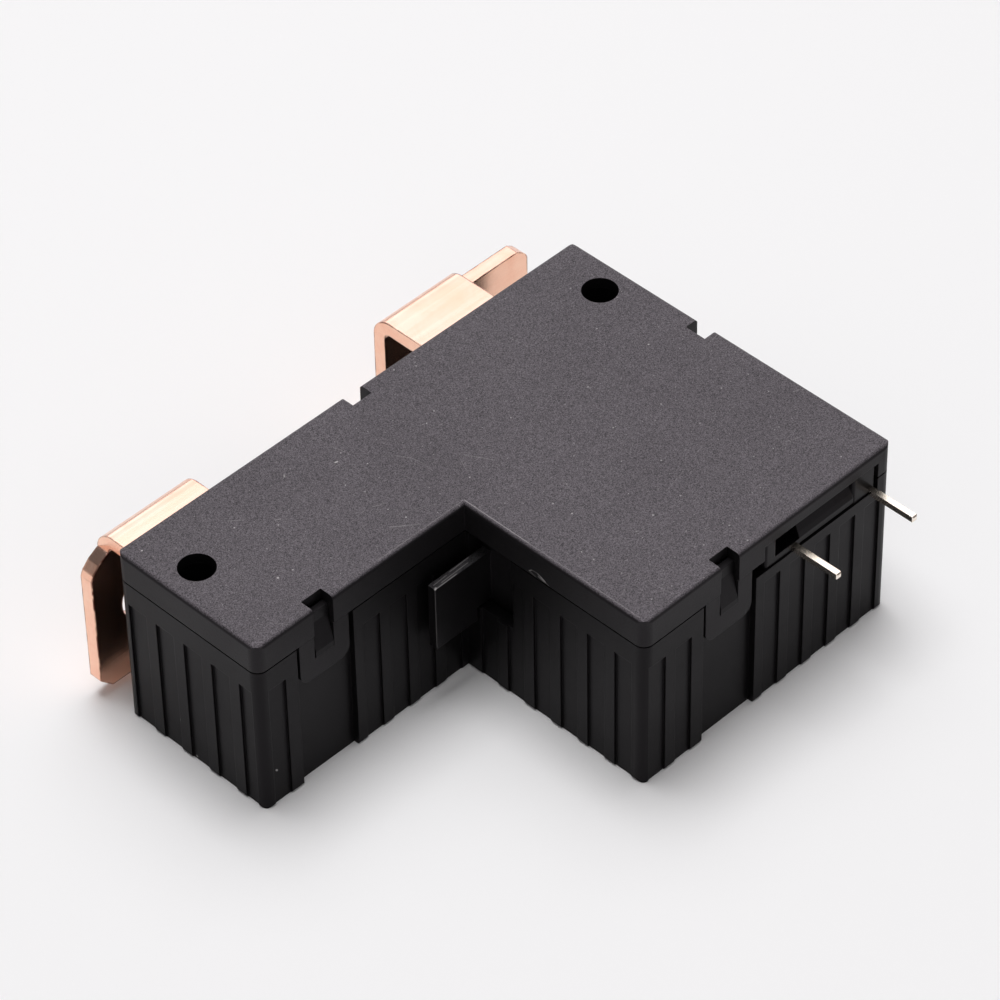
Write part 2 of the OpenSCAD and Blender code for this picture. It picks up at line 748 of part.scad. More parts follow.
module cover() {
    color(black_plastic) from_corner() difference() {
        union() {
            difference() {
                housing_block(seam_z, body_h, edge_r, 0);
                inset_prism(seam_z - cut, plate_z, skirt_t);
            }
            at_snaps() strap();
            // boss that holds the upper end of the armature shaft
            post(axis_x, axis_y, boss_z, plate_z + fit, boss_d);
            // rib that keeps the card down
            box([card_x + 0.1, axis_y - 4, card_top + card_play],
                [card_x + card_t - 0.1, partition_y + partition_t, plate_z + fit]);
        }
        at_snaps() strap_window();
        post(axis_x, axis_y, 0, shaft_high, shaft_d);
        mounts(0, body_h + cut, mount_d);
        // gaps in the skirt for the terminal strips
        for (ends = strip_ends) {
            box([ends[0] - fit, -skirt_t - fit, seam_z - cut], [ends[1] + fit, cut, plate_z]);
        }
        // gap in the skirt for the coil pins
        on_wall(walls[3]) box([pin_gap_start, -cut, seam_z - cut],
            [block_l - pin_gap_end, skirt_t + fit, body_h - pin_gap_top]);
    }
}

// Quarter of a bent strip, seen from the side: from straight up to the given turn
module quarter_bend(turn) {
    rotate([0, 0, turn]) intersection() {
        difference() {
            circle(bend_out);
            circle(bend_r);
        }
        square(bend_out + cut);
    }
}

// Side view of a terminal: blade behind the wall, strip over it, tab in front of it
module hook_profile(blade, reach, blade_low) {
    union() {
        translate([blade, blade_low]) square([copper_t, bend_z - blade_low]);
        translate([blade + bend_out, bend_z]) quarter_bend(90);
        translate([blade + bend_out, strip_z]) square([reach - blade - 2 * bend_out, copper_t]);
        translate([reach - bend_out, bend_z]) quarter_bend(0);
    }
}

// Tab seen from the front, with cut corners. The left and the right upper corners start at
// x0 and x1, and the neck that joins the bend runs from n0 to n1.
module tab_outline(x0, x1, top, c_left, c_right, n0, n1) {
    low = tab_z;
    union() {
        polygon([[x0, low + tab_cut], [x0, top - c_left],
            [x0 + 0.12 * c_left, top - 0.7 * c_left], [x0 + 0.48 * c_left, top - 0.32 * c_left],
            [x0 + c_left, top], [x1 - c_right, top],
            [x1 - 0.48 * c_right, top - 0.32 * c_right], [x1 - 0.12 * c_right, top - 0.7 * c_right],
            [x1, top - c_right], [x1, low + tab_cut], [x1 - tab_cut, low], [x0 + tab_cut, low]]);
        translate([n0, low + tab_cut]) square([n1 - n0, bend_z - low - tab_cut]);
    }
}

// Flat tab with its screw hole, its outer face at reach
module tab(reach, screw_x) {
    difference() {
        translate([0, reach, 0]) rotate([90, 0, 0]) linear_extrude(copper_t) children();
        rod_y(screw_x, screw_z, reach - copper_t - cut, reach + cut, screw_d);
    }
}

module fixed_terminal() {
    x0 = fixed_in - fixed_over;
    color(copper) from_corner() difference() {
        union() {
            translate([fixed_in, 0, 0]) rotate([90, 0, 90]) linear_extrude(fixed_w)
                hook_profile(-blade_y, fixed_reach, floor_t + fit);
            tab(fixed_reach, x0 + screw_in)
                tab_outline(x0, fixed_x1, body_h - shoulder_drop, shoulder_cut, 0,
                    fixed_in + relief, fixed_x1);
        }
        // the blade stays clear of the end wall
        box([fixed_in - cut, -blade_y - cut, 0], [wall_t + 0.5, -wall_t - fit, body_h]);
        for (z = contacts_z) {
            rod_y(contact_x, z, -blade_y - cut, -blade_y + copper_t + cut, fixed_shank_d);
        }
    }
}

module spring_terminal() {
    x1 = spring_x1 + spring_over;
    color(copper) from_corner() difference() {
        union() {
            translate([spring_x0, 0, 0]) rotate([90, 0, 90]) linear_extrude(spring_w)
                hook_profile(leaf_y, spring_reach, floor_t + fit);
            tab(spring_reach, x1 - screw_in)
                tab_outline(spring_x0, x1, bend_z - 0.3, 0, tab_cut, spring_x0,
                    spring_x1);
        }
        for (x = rivets_x) {
            rod_y(x, leaf_mid_z, leaf_y - cut, leaf_y + copper_t + cut, rivet_d);
        }
    }
}

// Contact rivet lying along Y, its flat underside at the origin and its head towards +Y.
// The head is domed by a shallow arc, the shank reaches back by grip and ends in a collar.
module contact_rivet(head_d, head_t, grip, shank_d, collar_d) {
    ball_r = (pow(head_d / 2, 2) + pow(contact_dome, 2)) / (2 * contact_dome);
    rotate([-90, 0, 0]) rotate_extrude() union() {
        square([head_d / 2, head_t - contact_dome]);
        intersection() {
            translate([0, head_t - ball_r]) circle(ball_r, $fn = 96);
            translate([0, head_t - contact_dome - fit]) square([head_d / 2, contact_dome + fit]);
        }
        translate([0, -grip - fit]) square([shank_d / 2, grip + 2 * fit]);
        translate([0, -grip - collar_t]) square([collar_d / 2, collar_t]);
    }
}

// Fixed contact on the front face of the fixed terminal's blade
module fixed_contact(z) {
    color(silver) from_corner() translate([contact_x, -blade_y, z]) mirror([0, 1, 0])
        contact_rivet(contact_d, contact_t, copper_t, fixed_shank_d, contact_d * 0.8);
}

// Moving contact on the spring
module moving_contact(z) {
    color(silver) from_corner() translate([contact_x, leaf_y, z])
        contact_rivet(contact_d - 0.4, contact_t, leaf_t + backing_t, moving_shank_d,
            contact_d * 0.7);
}

// Spring leaf between two places, split at its free end into two tongues with holes
module leaf(x0, x1, y, t) {
    difference() {
        box([x0, y - t, leaf_z], [x1, y, leaf_z + leaf_h]);
        box([x0 - cut, y - t - cut, leaf_mid_z - slit_w / 2],
            [leaf_x[0] + slit_l, y + cut, leaf_mid_z + slit_w / 2]);
        for (z = contacts_z) {
            rod_y(contact_x, z, y - t - cut, y + cut, moving_shank_d);
        }
    }
}

// Loop that lets the spring bend, seen from above
module loop() {
    difference() {
        union() {
            intersection() {
                circle(loop_out);
                translate([-loop_out, -loop_out]) square([2 * loop_out, loop_out]);
            }
            translate([-loop_out, 0]) square([2 * loop_out, leaf_t]);
        }
        circle(loop_r);
        translate([-loop_r, 0]) square([2 * loop_r, leaf_t + cut]);
    }
}

module contact_spring() {
    color(copper) from_corner() union() {
        leaf(leaf_x[0], loop_x - loop_out, leaf_y, leaf_t);
        translate([loop_x, leaf_y - leaf_t, leaf_z]) linear_extrude(leaf_h) loop();
        box([loop_x + loop_out, leaf_y - leaf_t, leaf_z],
            [leaf_x[1], leaf_y, leaf_z + leaf_h]);
    }
}

module backing_spring() {
    color(steel) from_corner() leaf(leaf_x[0] + backing_in, loop_x - loop_out - backing_in,
        leaf_y - leaf_t, backing_t);
}

module spring_root() {
    color(copper) from_corner() difference() {
        box([hinge_x + 2 * fit, leaf_y - leaf_t, leaf_z],
            [spring_x1 - 0.6, leaf_y, leaf_z + leaf_h]);
        for (x = rivets_x) {
            rod_y(x, leaf_mid_z, leaf_y - leaf_t - cut, leaf_y + cut, rivet_d);
        }
    }
}

// Rivet through the spring root and the blade
module spring_rivet(x) {
    color(copper) from_corner() union() {
        back = leaf_y - leaf_t;
        front = leaf_y + copper_t;
        rod_y(x, leaf_mid_z, back - rivet_head_t, front + rivet_head_t, rivet_d);
        rod_y(x, leaf_mid_z, back - rivet_head_t, back, rivet_head_d);
        rod_y(x, leaf_mid_z, front, front + rivet_head_t, rivet_head_d);
    }
}

// Upright web of the card, seen from the side, with a window
module card_web() {
    near = tip_y - tip_r - tip_play - jaw_t - web_over;
    far = arm_y + arm_w;
    difference() {
        rounded_rect(near, card_z, far, card_top, web_r);
        rounded_rect(lever_y + web_side, card_z + web_edge, far - web_side, card_top - web_edge,
            web_r);
    }
}

// Fork at the end of the card's arm, one nose on each side of the spring
module card_fork() {
    back = arm_y + arm_w;
    front = leaf_y + nose_play + nose_r;
    box([fork_x - fork_w / 2, arm_y, deck_z], [fork_x + fork_w / 2, front + fork_over, card_top]);
    for (y = [back, front]) {
        post(fork_x, y, leaf_z, deck_z + fit, 2 * nose_r);
    }
    box([fork_x - nose_r, arm_y, leaf_z], [fork_x + nose_r, back, deck_z + fit]);
    box([fork_x - nose_r, front, leaf_z], [fork_x + nose_r, front + fork_over, deck_z + fit]);
}

module pusher_card() {
    jaw = tip_r + tip_play;
    color(black_plastic) from_corner() union() {
        translate([card_x, 0, 0]) rotate([90, 0, 90]) linear_extrude(card_t) card_web();
        // arm over the contact spring
        box([fork_x - fork_w / 2, arm_y, deck_z], [card_x + card_t, arm_y + arm_w, card_top]);
        card_fork();
        // jaws that take the tip of the armature's arm
        for (side = [-1, 1]) {
            inner = tip_y + side * jaw;
            outer = tip_y + side * (jaw + jaw_t);
            box([card_x + card_t - fit, min(inner, outer), coil_z - jaw_h / 2],
                [tip_x + jaw + card_play, max(inner, outer), coil_z + jaw_h / 2]);
        }
        // lever: a neck through the slot and a blade in front of the wall
        box([notch_l - lever_gap - fit, lever_y - lever_t, slot_z + card_play],
            [card_x + fit, lever_y, lever_z + lever_h]);
        box([notch_l - lever_l, lever_y - lever_t, lever_z],
            [notch_l - lever_gap, lever_y, lever_z + lever_h]);
    }
}

// Turns the armature's parts from the middle of the swing to the rest pose
module on_armature() {
    translate([axis_x, axis_y, 0]) rotate([0, 0, -swing]) children();
}

// One armature plate, on the coil's side or on the card's side
module armature_plate(side) {
    inner = side * pole_gap / 2;
    outer = side * (pole_gap / 2 + plate_t);
    color(steel) from_corner() on_armature() translate([0, 0, coil_z - plate_h / 2])
        linear_extrude(plate_h)
            rounded_rect(min(inner, outer), -plate_l, max(inner, outer), plate_l, plate_r);
}

// One of the two magnets between the plates
module magnet(side) {
    color(silver) from_corner() on_armature() magnet_box(side);
}

// The space of one magnet, in the armature's own frame
module magnet_box(side) {
    near = side * magnet_in;
    far = side * (magnet_in + magnet_l);
    half_h = plate_h / 2 - magnet_under;
    box([-pole_gap / 2, min(near, far), coil_z - half_h],
        [pole_gap / 2, max(near, far), coil_z + half_h]);
}

module armature_carrier() {
    low = floor_t + boss_h + axial_play;
    high = boss_z - axial_play;
    arm_low = coil_z - arm_h / 2;
    arm_high = coil_z + arm_h / 2;
    color(black_plastic) from_corner() on_armature() difference() {
        union() {
            translate([0, 0, low + hub_over]) linear_extrude(high - low - 2 * hub_over)
                rounded_rect(-carrier_x, -carrier_y, carrier_x, carrier_y, carrier_r);
            post(0, 0, low, high, shaft_d + 2 * hub_wall);
            // arm with a round tip
            box([-arm_l, -arm_t / 2, arm_low], [-carrier_x + fit, arm_t / 2, arm_high]);
            post(-arm_l, 0, arm_low, arm_high, 2 * tip_r);
            box([-carrier_x - arm_root, -arm_t, arm_low], [-carrier_x + fit, arm_t, arm_high]);
        }
        post(0, 0, 0, body_h, shaft_d + 2 * shaft_play);
        // pockets for the plates and the magnets
        for (side = [-1, 1]) {
            inner = side * pole_gap / 2;
            outer = side * (pole_gap / 2 + plate_t);
            box([min(inner, outer), -plate_l, coil_z - plate_h / 2],
                [max(inner, outer), plate_l, coil_z + plate_h / 2]);
            magnet_box(side);
        }
    }
}

module armature_shaft() {
    color(steel) from_corner() post(axis_x, axis_y, shaft_low, shaft_high, shaft_d);
}

// Bent yoke, seen from above: a leg along the bobbin flange and a pole tip beside the armature
module yoke_outline() {
    x0 = axis_x - yoke_t / 2;
    bend_x = x0 + yoke_t + yoke_r;
    union() {
        translate([bend_x, yoke_span]) square([yoke_x1 - bend_x, yoke_t]);
        translate([x0, pole_in]) square([yoke_t, yoke_span - yoke_r - pole_in]);
        translate([bend_x, yoke_span - yoke_r]) rotate([0, 0, 90]) intersection() {
            difference() {
                circle(yoke_t + yoke_r);
                circle(yoke_r);
            }
            square(yoke_t + yoke_r + cut);
        }
    }
}

// Yoke in front of (-1) or behind (1) the armature
module yoke(side) {
    color(steel) from_corner() difference() {
        translate([0, axis_y, yoke_z]) linear_extrude(yoke_h) {
            if (side > 0) {
                yoke_outline();
            } else {
                mirror([0, 1]) yoke_outline();
            }
        }
        rod_y(coil_x, coil_z, front_y - yoke_t - cut, rear_y + yoke_t + cut, core_end_d);
    }
}

module core() {
    color(steel) from_corner() union() {
        rod_y(coil_x, coil_z, front_y, rear_y, core_d);
        rod_y(coil_x, coil_z, front_y - yoke_t, rear_y + yoke_t, core_end_d);
    }
}

// Bar of the bobbin's front, seen from the side: an upright face with a sloped one over it
module bar_profile(face_y, inner_y, low_z, high_z) {
    knee = low_z + bar_face + (high_z - low_z - bar_face) * 0.3;
    polygon([[face_y + bar_chamfer, low_z], [face_y, low_z + bar_chamfer],
        [face_y, low_z + bar_face], [face_y + bar_slope / 4, knee],
        [face_y + bar_slope, high_z], [inner_y, high_z], [inner_y, low_z]]);
}

module bobbin() {
    face_y = front_in - body_w;
    inner_y = wall_t + 2 * fit - body_w;
    low_z = body_h - pin_gap_low + fit;
    high_z = body_h - pin_gap_top - front_play;
    ends_x = [notch_l + pin_gap_start + front_play, body_l - pin_gap_end - front_play];
    bar_x = [pins_x[0] + bar_in, ends_x[1] - lug_right];
    color(black_plastic) from_corner() difference() {
        union() {
            rod_y(coil_x, coil_z, front_y, rear_y, tube_d);
            for (y = [front_y + flange_t, rear_y]) {
                translate([0, y, 0]) rotate([90, 0, 0]) linear_extrude(flange_t)
                    rounded_rect(bobbin_x0, coil_z - flange_h / 2, bobbin_x1,
                        coil_z + flange_h / 2, flange_r);
            }
            // block over the front yoke that carries the pins
            box([ends_x[0], inner_y, block_z],
                [ends_x[1], front_y + flange_t, pin_z + block_over]);
            // lugs at both ends of the pin opening
            for (ends = [[ends_x[0], ends_x[0] + lug_left], [bar_x[1] - fit, ends_x[1]]]) {
                translate([0, 0, low_z]) linear_extrude(high_z - low_z)
                    rounded_rect(ends[0], face_y, ends[1], inner_y + cut, lug_r);
            }
            // shelf over the left pin
            box([ends_x[0] + lug_r, face_y, low_z],
                [bar_x[0] + fit, inner_y + fit, pin_z + pin_w / 2 + shelf_t]);
            translate([bar_x[0], 0, 0]) rotate([90, 0, 90]) linear_extrude(bar_x[1] - bar_x[0])
                bar_profile(face_y, inner_y + cut, low_z, high_z - front_play);
        }
        rod_y(coil_x, coil_z, front_y - cut, rear_y + cut, core_d + 2 * fit);
        for (x = pins_x) {
            box([x - pin_w / 2, -body_w - cut, pin_z - pin_w / 2],
                [x + pin_w / 2, front_y + flange_t + cut, pin_z + pin_w / 2]);
        }
    }
}

module winding() {
    color(winding_copper) from_corner() difference() {
        rod_y(coil_x, coil_z, front_y + flange_t, rear_y - flange_t, winding_d);
        rod_y(coil_x, coil_z, front_y, rear_y, tube_d);
    }
}

module winding_tape() {
    color(tape_yellow) from_corner() difference() {
        rod_y(coil_x, coil_z, wire_y[1], rear_y - flange_t - tape_in, winding_d + 2 * tape_t);
        rod_y(coil_x, coil_z, front_y, rear_y, winding_d);
    }
}

// Square pin with a chamfered outer end, through the bobbin's block
module coil_pin(x) {
    half = pin_w / 2;
    flat = half - pin_chamfer;
    outer = -body_w - pin_out;
    inner = wire_y[1] + pin_past;
    color(tinned) from_corner() intersection() {
        translate([x, 0, pin_z - half]) linear_extrude(pin_w) pin_profile(outer, inner, half, flat);
        translate([x + half, 0, pin_z]) rotate([0, -90, 0]) linear_extrude(pin_w)
            pin_profile(outer, inner, half, flat);
    }
}

// Outline of a pin from one side, its outer end chamfered from the half width to the flat
module pin_profile(outer, inner, half, flat) {
    polygon([[-flat, outer], [flat, outer], [half, outer + half - flat], [half, inner],
        [-half, inner], [-half, outer + half - flat]]);
}

// End of the winding's wire: a soldered wrap round the pin and the lead down to the winding
module coil_lead(x) {
    half = pin_w / 2;
    color(winding_copper) from_corner() difference() {
        union() {
            rod_y(x, pin_z, wire_y[0], wire_y[1], pin_w * sqrt(2) + wire_d);
            post(x, (wire_y[0] + wire_y[1]) / 2, coil_z, pin_z, wire_d);
        }
        box([x - half, wire_y[0] - cut, pin_z - half], [x + half, wire_y[1] + cut, pin_z + half]);
        rod_y(coil_x, coil_z, wire_y[0] - cut, wire_y[1] + cut, winding_d + fit);
    }
}

case_body();  // case
cover();
fixed_terminal();
spring_terminal();
fixed_contact(contacts_z[0]);  // fixed_contact_lower
fixed_contact(contacts_z[1]);  // fixed_contact_upper
moving_contact(contacts_z[0]);  // moving_contact_lower
moving_contact(contacts_z[1]);  // moving_contact_upper
contact_spring();
backing_spring();
spring_root();
spring_rivet(rivets_x[0]);  // spring_rivet_left
spring_rivet(rivets_x[1]);  // spring_rivet_right
pusher_card();
armature_carrier();
armature_plate(1);  // armature_plate_inner
armature_plate(-1);  // armature_plate_outer
magnet(-1);  // magnet_front
magnet(1);  // magnet_rear
armature_shaft();
bobbin();
winding();
winding_tape();
core();
yoke(-1);  // yoke_front
yoke(1);  // yoke_rear
coil_pin(pins_x[0]);  // coil_pin_left
coil_pin(pins_x[1]);  // coil_pin_right
coil_lead(pins_x[0]);  // coil_lead_left
coil_lead(pins_x[1]);  // coil_lead_right
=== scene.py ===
"""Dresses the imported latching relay: its finishes, its surface marks, the studio and the camera."""
from __future__ import annotations

import logging
import math
from dataclasses import dataclass, field
from enum import Enum
from typing import Optional, Union

import bpy
from mathutils import Matrix, Vector


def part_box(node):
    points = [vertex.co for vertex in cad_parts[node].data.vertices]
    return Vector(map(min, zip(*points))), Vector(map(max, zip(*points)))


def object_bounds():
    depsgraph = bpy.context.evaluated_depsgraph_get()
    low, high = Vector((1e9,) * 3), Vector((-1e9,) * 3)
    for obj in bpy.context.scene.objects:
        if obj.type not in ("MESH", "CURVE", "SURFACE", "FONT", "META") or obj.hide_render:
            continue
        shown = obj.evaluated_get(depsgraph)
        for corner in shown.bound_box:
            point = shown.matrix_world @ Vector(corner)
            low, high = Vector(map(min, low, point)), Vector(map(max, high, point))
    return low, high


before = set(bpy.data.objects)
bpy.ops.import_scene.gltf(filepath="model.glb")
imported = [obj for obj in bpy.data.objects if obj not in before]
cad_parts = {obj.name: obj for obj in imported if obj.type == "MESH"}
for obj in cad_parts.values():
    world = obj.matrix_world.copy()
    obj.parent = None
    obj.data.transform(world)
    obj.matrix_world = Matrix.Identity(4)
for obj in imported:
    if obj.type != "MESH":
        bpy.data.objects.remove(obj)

CAD_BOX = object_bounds()
LOG = logging.getLogger("relay")
MM = 0.001
PER_MM = 1000.0

Colour = tuple[float, float, float]
Point = tuple[float, float, float]
Socket = bpy.types.NodeSocket
Node = bpy.types.Node
Tree = bpy.types.NodeTree
Value = Union[float, Colour, Socket]


class Finish(Enum):
    """The finishes of the relay, by the material slots of the record."""

    COVER = "cover_plastic"
    CASE = "case_plastic"
    COPPER = "copper"
    SPRING_COPPER = "spring_copper"
    SPRING_STEEL = "spring_steel"
    SILVER = "contact_silver"
    CARD = "card_plastic"
    CARRIER = "carrier_plastic"
    BOBBIN = "bobbin_plastic"
    IRON = "iron"
    SHAFT = "shaft_steel"
    MAGNET = "magnet"
    WIRE = "winding_wire"
    TAPE = "tape"
    PIN = "tinned_pin"


class Effect(Enum):
    """The surface effects that several finishes share."""

    GRAIN = "moulded grain"
    SPECKS = "dirt specks and glints"
    SCRATCHES = "fine scratches"
    EDGES = "soft edges"
    TONE = "uneven tone"
    STREAKS = "drawn streaks"
    STROKE = "single stroke"


class Wiring:
    """Adds nodes to one node tree and joins them."""

    def __init__(self, tree: Tree) -> None:
        """Empties a tree and keeps it.

        Args:
            tree: the node tree that takes the nodes.
        """
        tree.nodes.clear()
        self.tree = tree

    def feed(self, socket: Socket, value: Value) -> None:
        """Links a socket to another one, or sets its value.

        Args:
            socket: the input to fill.
            value: an output socket, a number or a colour.
        """
        if isinstance(value, Socket):
            self.tree.links.new(value, socket)
        elif socket.type == "RGBA":
            socket.default_value = (*value, 1.0)
        else:
            socket.default_value = value

    def add(self, kind: str, inputs: Optional[dict] = None, **settings: object) -> Node:
        """Adds one node.

        Args:
            kind: the node's type, without the words ShaderNode in front.
            inputs: a value or an output socket for each named or numbered input.
            **settings: the node's own properties.

        Returns:
            The new node.
        """
        node = self.tree.nodes.new("ShaderNode" + kind)
        for name, setting in settings.items():
            setattr(node, name, setting)
        for key, value in (inputs or {}).items():
            self.feed(node.inputs[key], value)
        return node

    def calc(self, operation: str, *values: Value, clamp: bool = False) -> Socket:
        """Adds a Math node.

        Args:
            operation: what the node works out.
            *values: its inputs, in order.
            clamp: whether the result is kept between 0 and 1.

        Returns:
            The result's socket.
        """
        inputs = dict(enumerate(values))
        return self.add("Math", inputs, operation=operation, use_clamp=clamp).outputs[0]

    def times(self, *values: Value) -> Socket:
        """Multiplies numbers.

        Args:
            *values: two numbers or more.

        Returns:
            Their product's socket.
        """
        product = values[0]
        for value in values[1:]:
            product = self.calc("MULTIPLY", product, value)
        return product

    def vector(self, operation: str, *values: Value, scale: Optional[Value] = None) -> Node:
        """Adds a Vector Math node.

        Args:
            operation: what the node works out.
            *values: its vector inputs, in order.
            scale: the Scale input, where the operation has one.

        Returns:
            The node, because some operations answer with a vector and some with a number.
        """
        node = self.add("VectorMath", dict(enumerate(values)), operation=operation)
        if scale is not None:
            self.feed(node.inputs["Scale"], scale)
        return node

    def dot(self, first: Value, second: Value) -> Socket:
        """Returns the dot product of two vectors."""
        return self.vector("DOT_PRODUCT", first, second).outputs["Value"]

    def span(self, value: Value, low: Value, high: Value, start: Value = 0.0,
             end: Value = 1.0) -> Socket:
        """Maps a value's range onto another and clamps it.

        Args:
            value: the number to map.
            low: the value that becomes start.
            high: the value that becomes end.
            start: the first end of the new range.
            end: the last end of the new range.

        Returns:
            The mapped number's socket.
        """
        limits = {"From Min": low, "From Max": high, "To Min": start, "To Max": end}
        return self.add("MapRange", {"Value": value, **limits}).outputs["Result"]

    def mix(self, mask: Value, first: Value, second: Value) -> Socket:
        """Blends two colours.

        Args:
            mask: 0 for the first colour and 1 for the second.
            first: a colour or its socket.
            second: a colour or its socket.

        Returns:
            The blended colour's socket.
        """
        node = self.add("Mix", data_type="RGBA")
        # The node's sockets for numbers and vectors come before those for colours
        mask_input, first_input, second_input, colour_output = 0, 6, 7, 2
        for index, value in ((mask_input, mask), (first_input, first), (second_input, second)):
            self.feed(node.inputs[index], value)
        return node.outputs[colour_output]

    def place(self) -> Socket:
        """Returns the place on the surface in millimetres, in the object's own frame."""
        where = self.add("TexCoord").outputs["Object"]
        return self.vector("SCALE", where, scale=PER_MM).outputs["Vector"]

    def place_in(self, size: Value) -> Socket:
        """Returns the place on the surface, counted in steps of a size in millimetres."""
        return self.vector("SCALE", self.place(),
                           scale=self.calc("DIVIDE", 1.0, size)).outputs["Vector"]

    def upward(self) -> Socket:
        """Returns 1 where the object's surface faces up, and 0 where it stands or faces down."""
        facing = self.add("TexCoord").outputs["Normal"]
        height = self.add("SeparateXYZ", {"Vector": facing}).outputs["Z"]
        steep, level = 0.55, 0.95
        return self.span(height, steep, level)

    def noise(self, where: Socket, **inputs: float) -> Socket:
        """Adds a noise texture.

        Args:
            where: the place that it is read at.
            **inputs: its other inputs by name, in small letters.

        Returns:
            The noise's socket.
        """
        named = {name.capitalize(): value for name, value in inputs.items()}
        return self.add("TexNoise", {"Vector": where, **named}).outputs["Fac"]

    def cells(self, where: Socket) -> tuple[Node, list[Socket]]:
        """Divides what is seen from above into uneven cells.

        Args:
            where: the place that they are read at.

        Returns:
            The cells' node, and three numbers that chance gives each cell.
        """
        cells = self.add("TexVoronoi", {"Vector": where, "Scale": 1.0}, voronoi_dimensions="2D")
        return cells, list(self.add("SeparateColor", {"Color": cells.outputs["Color"]}).outputs)


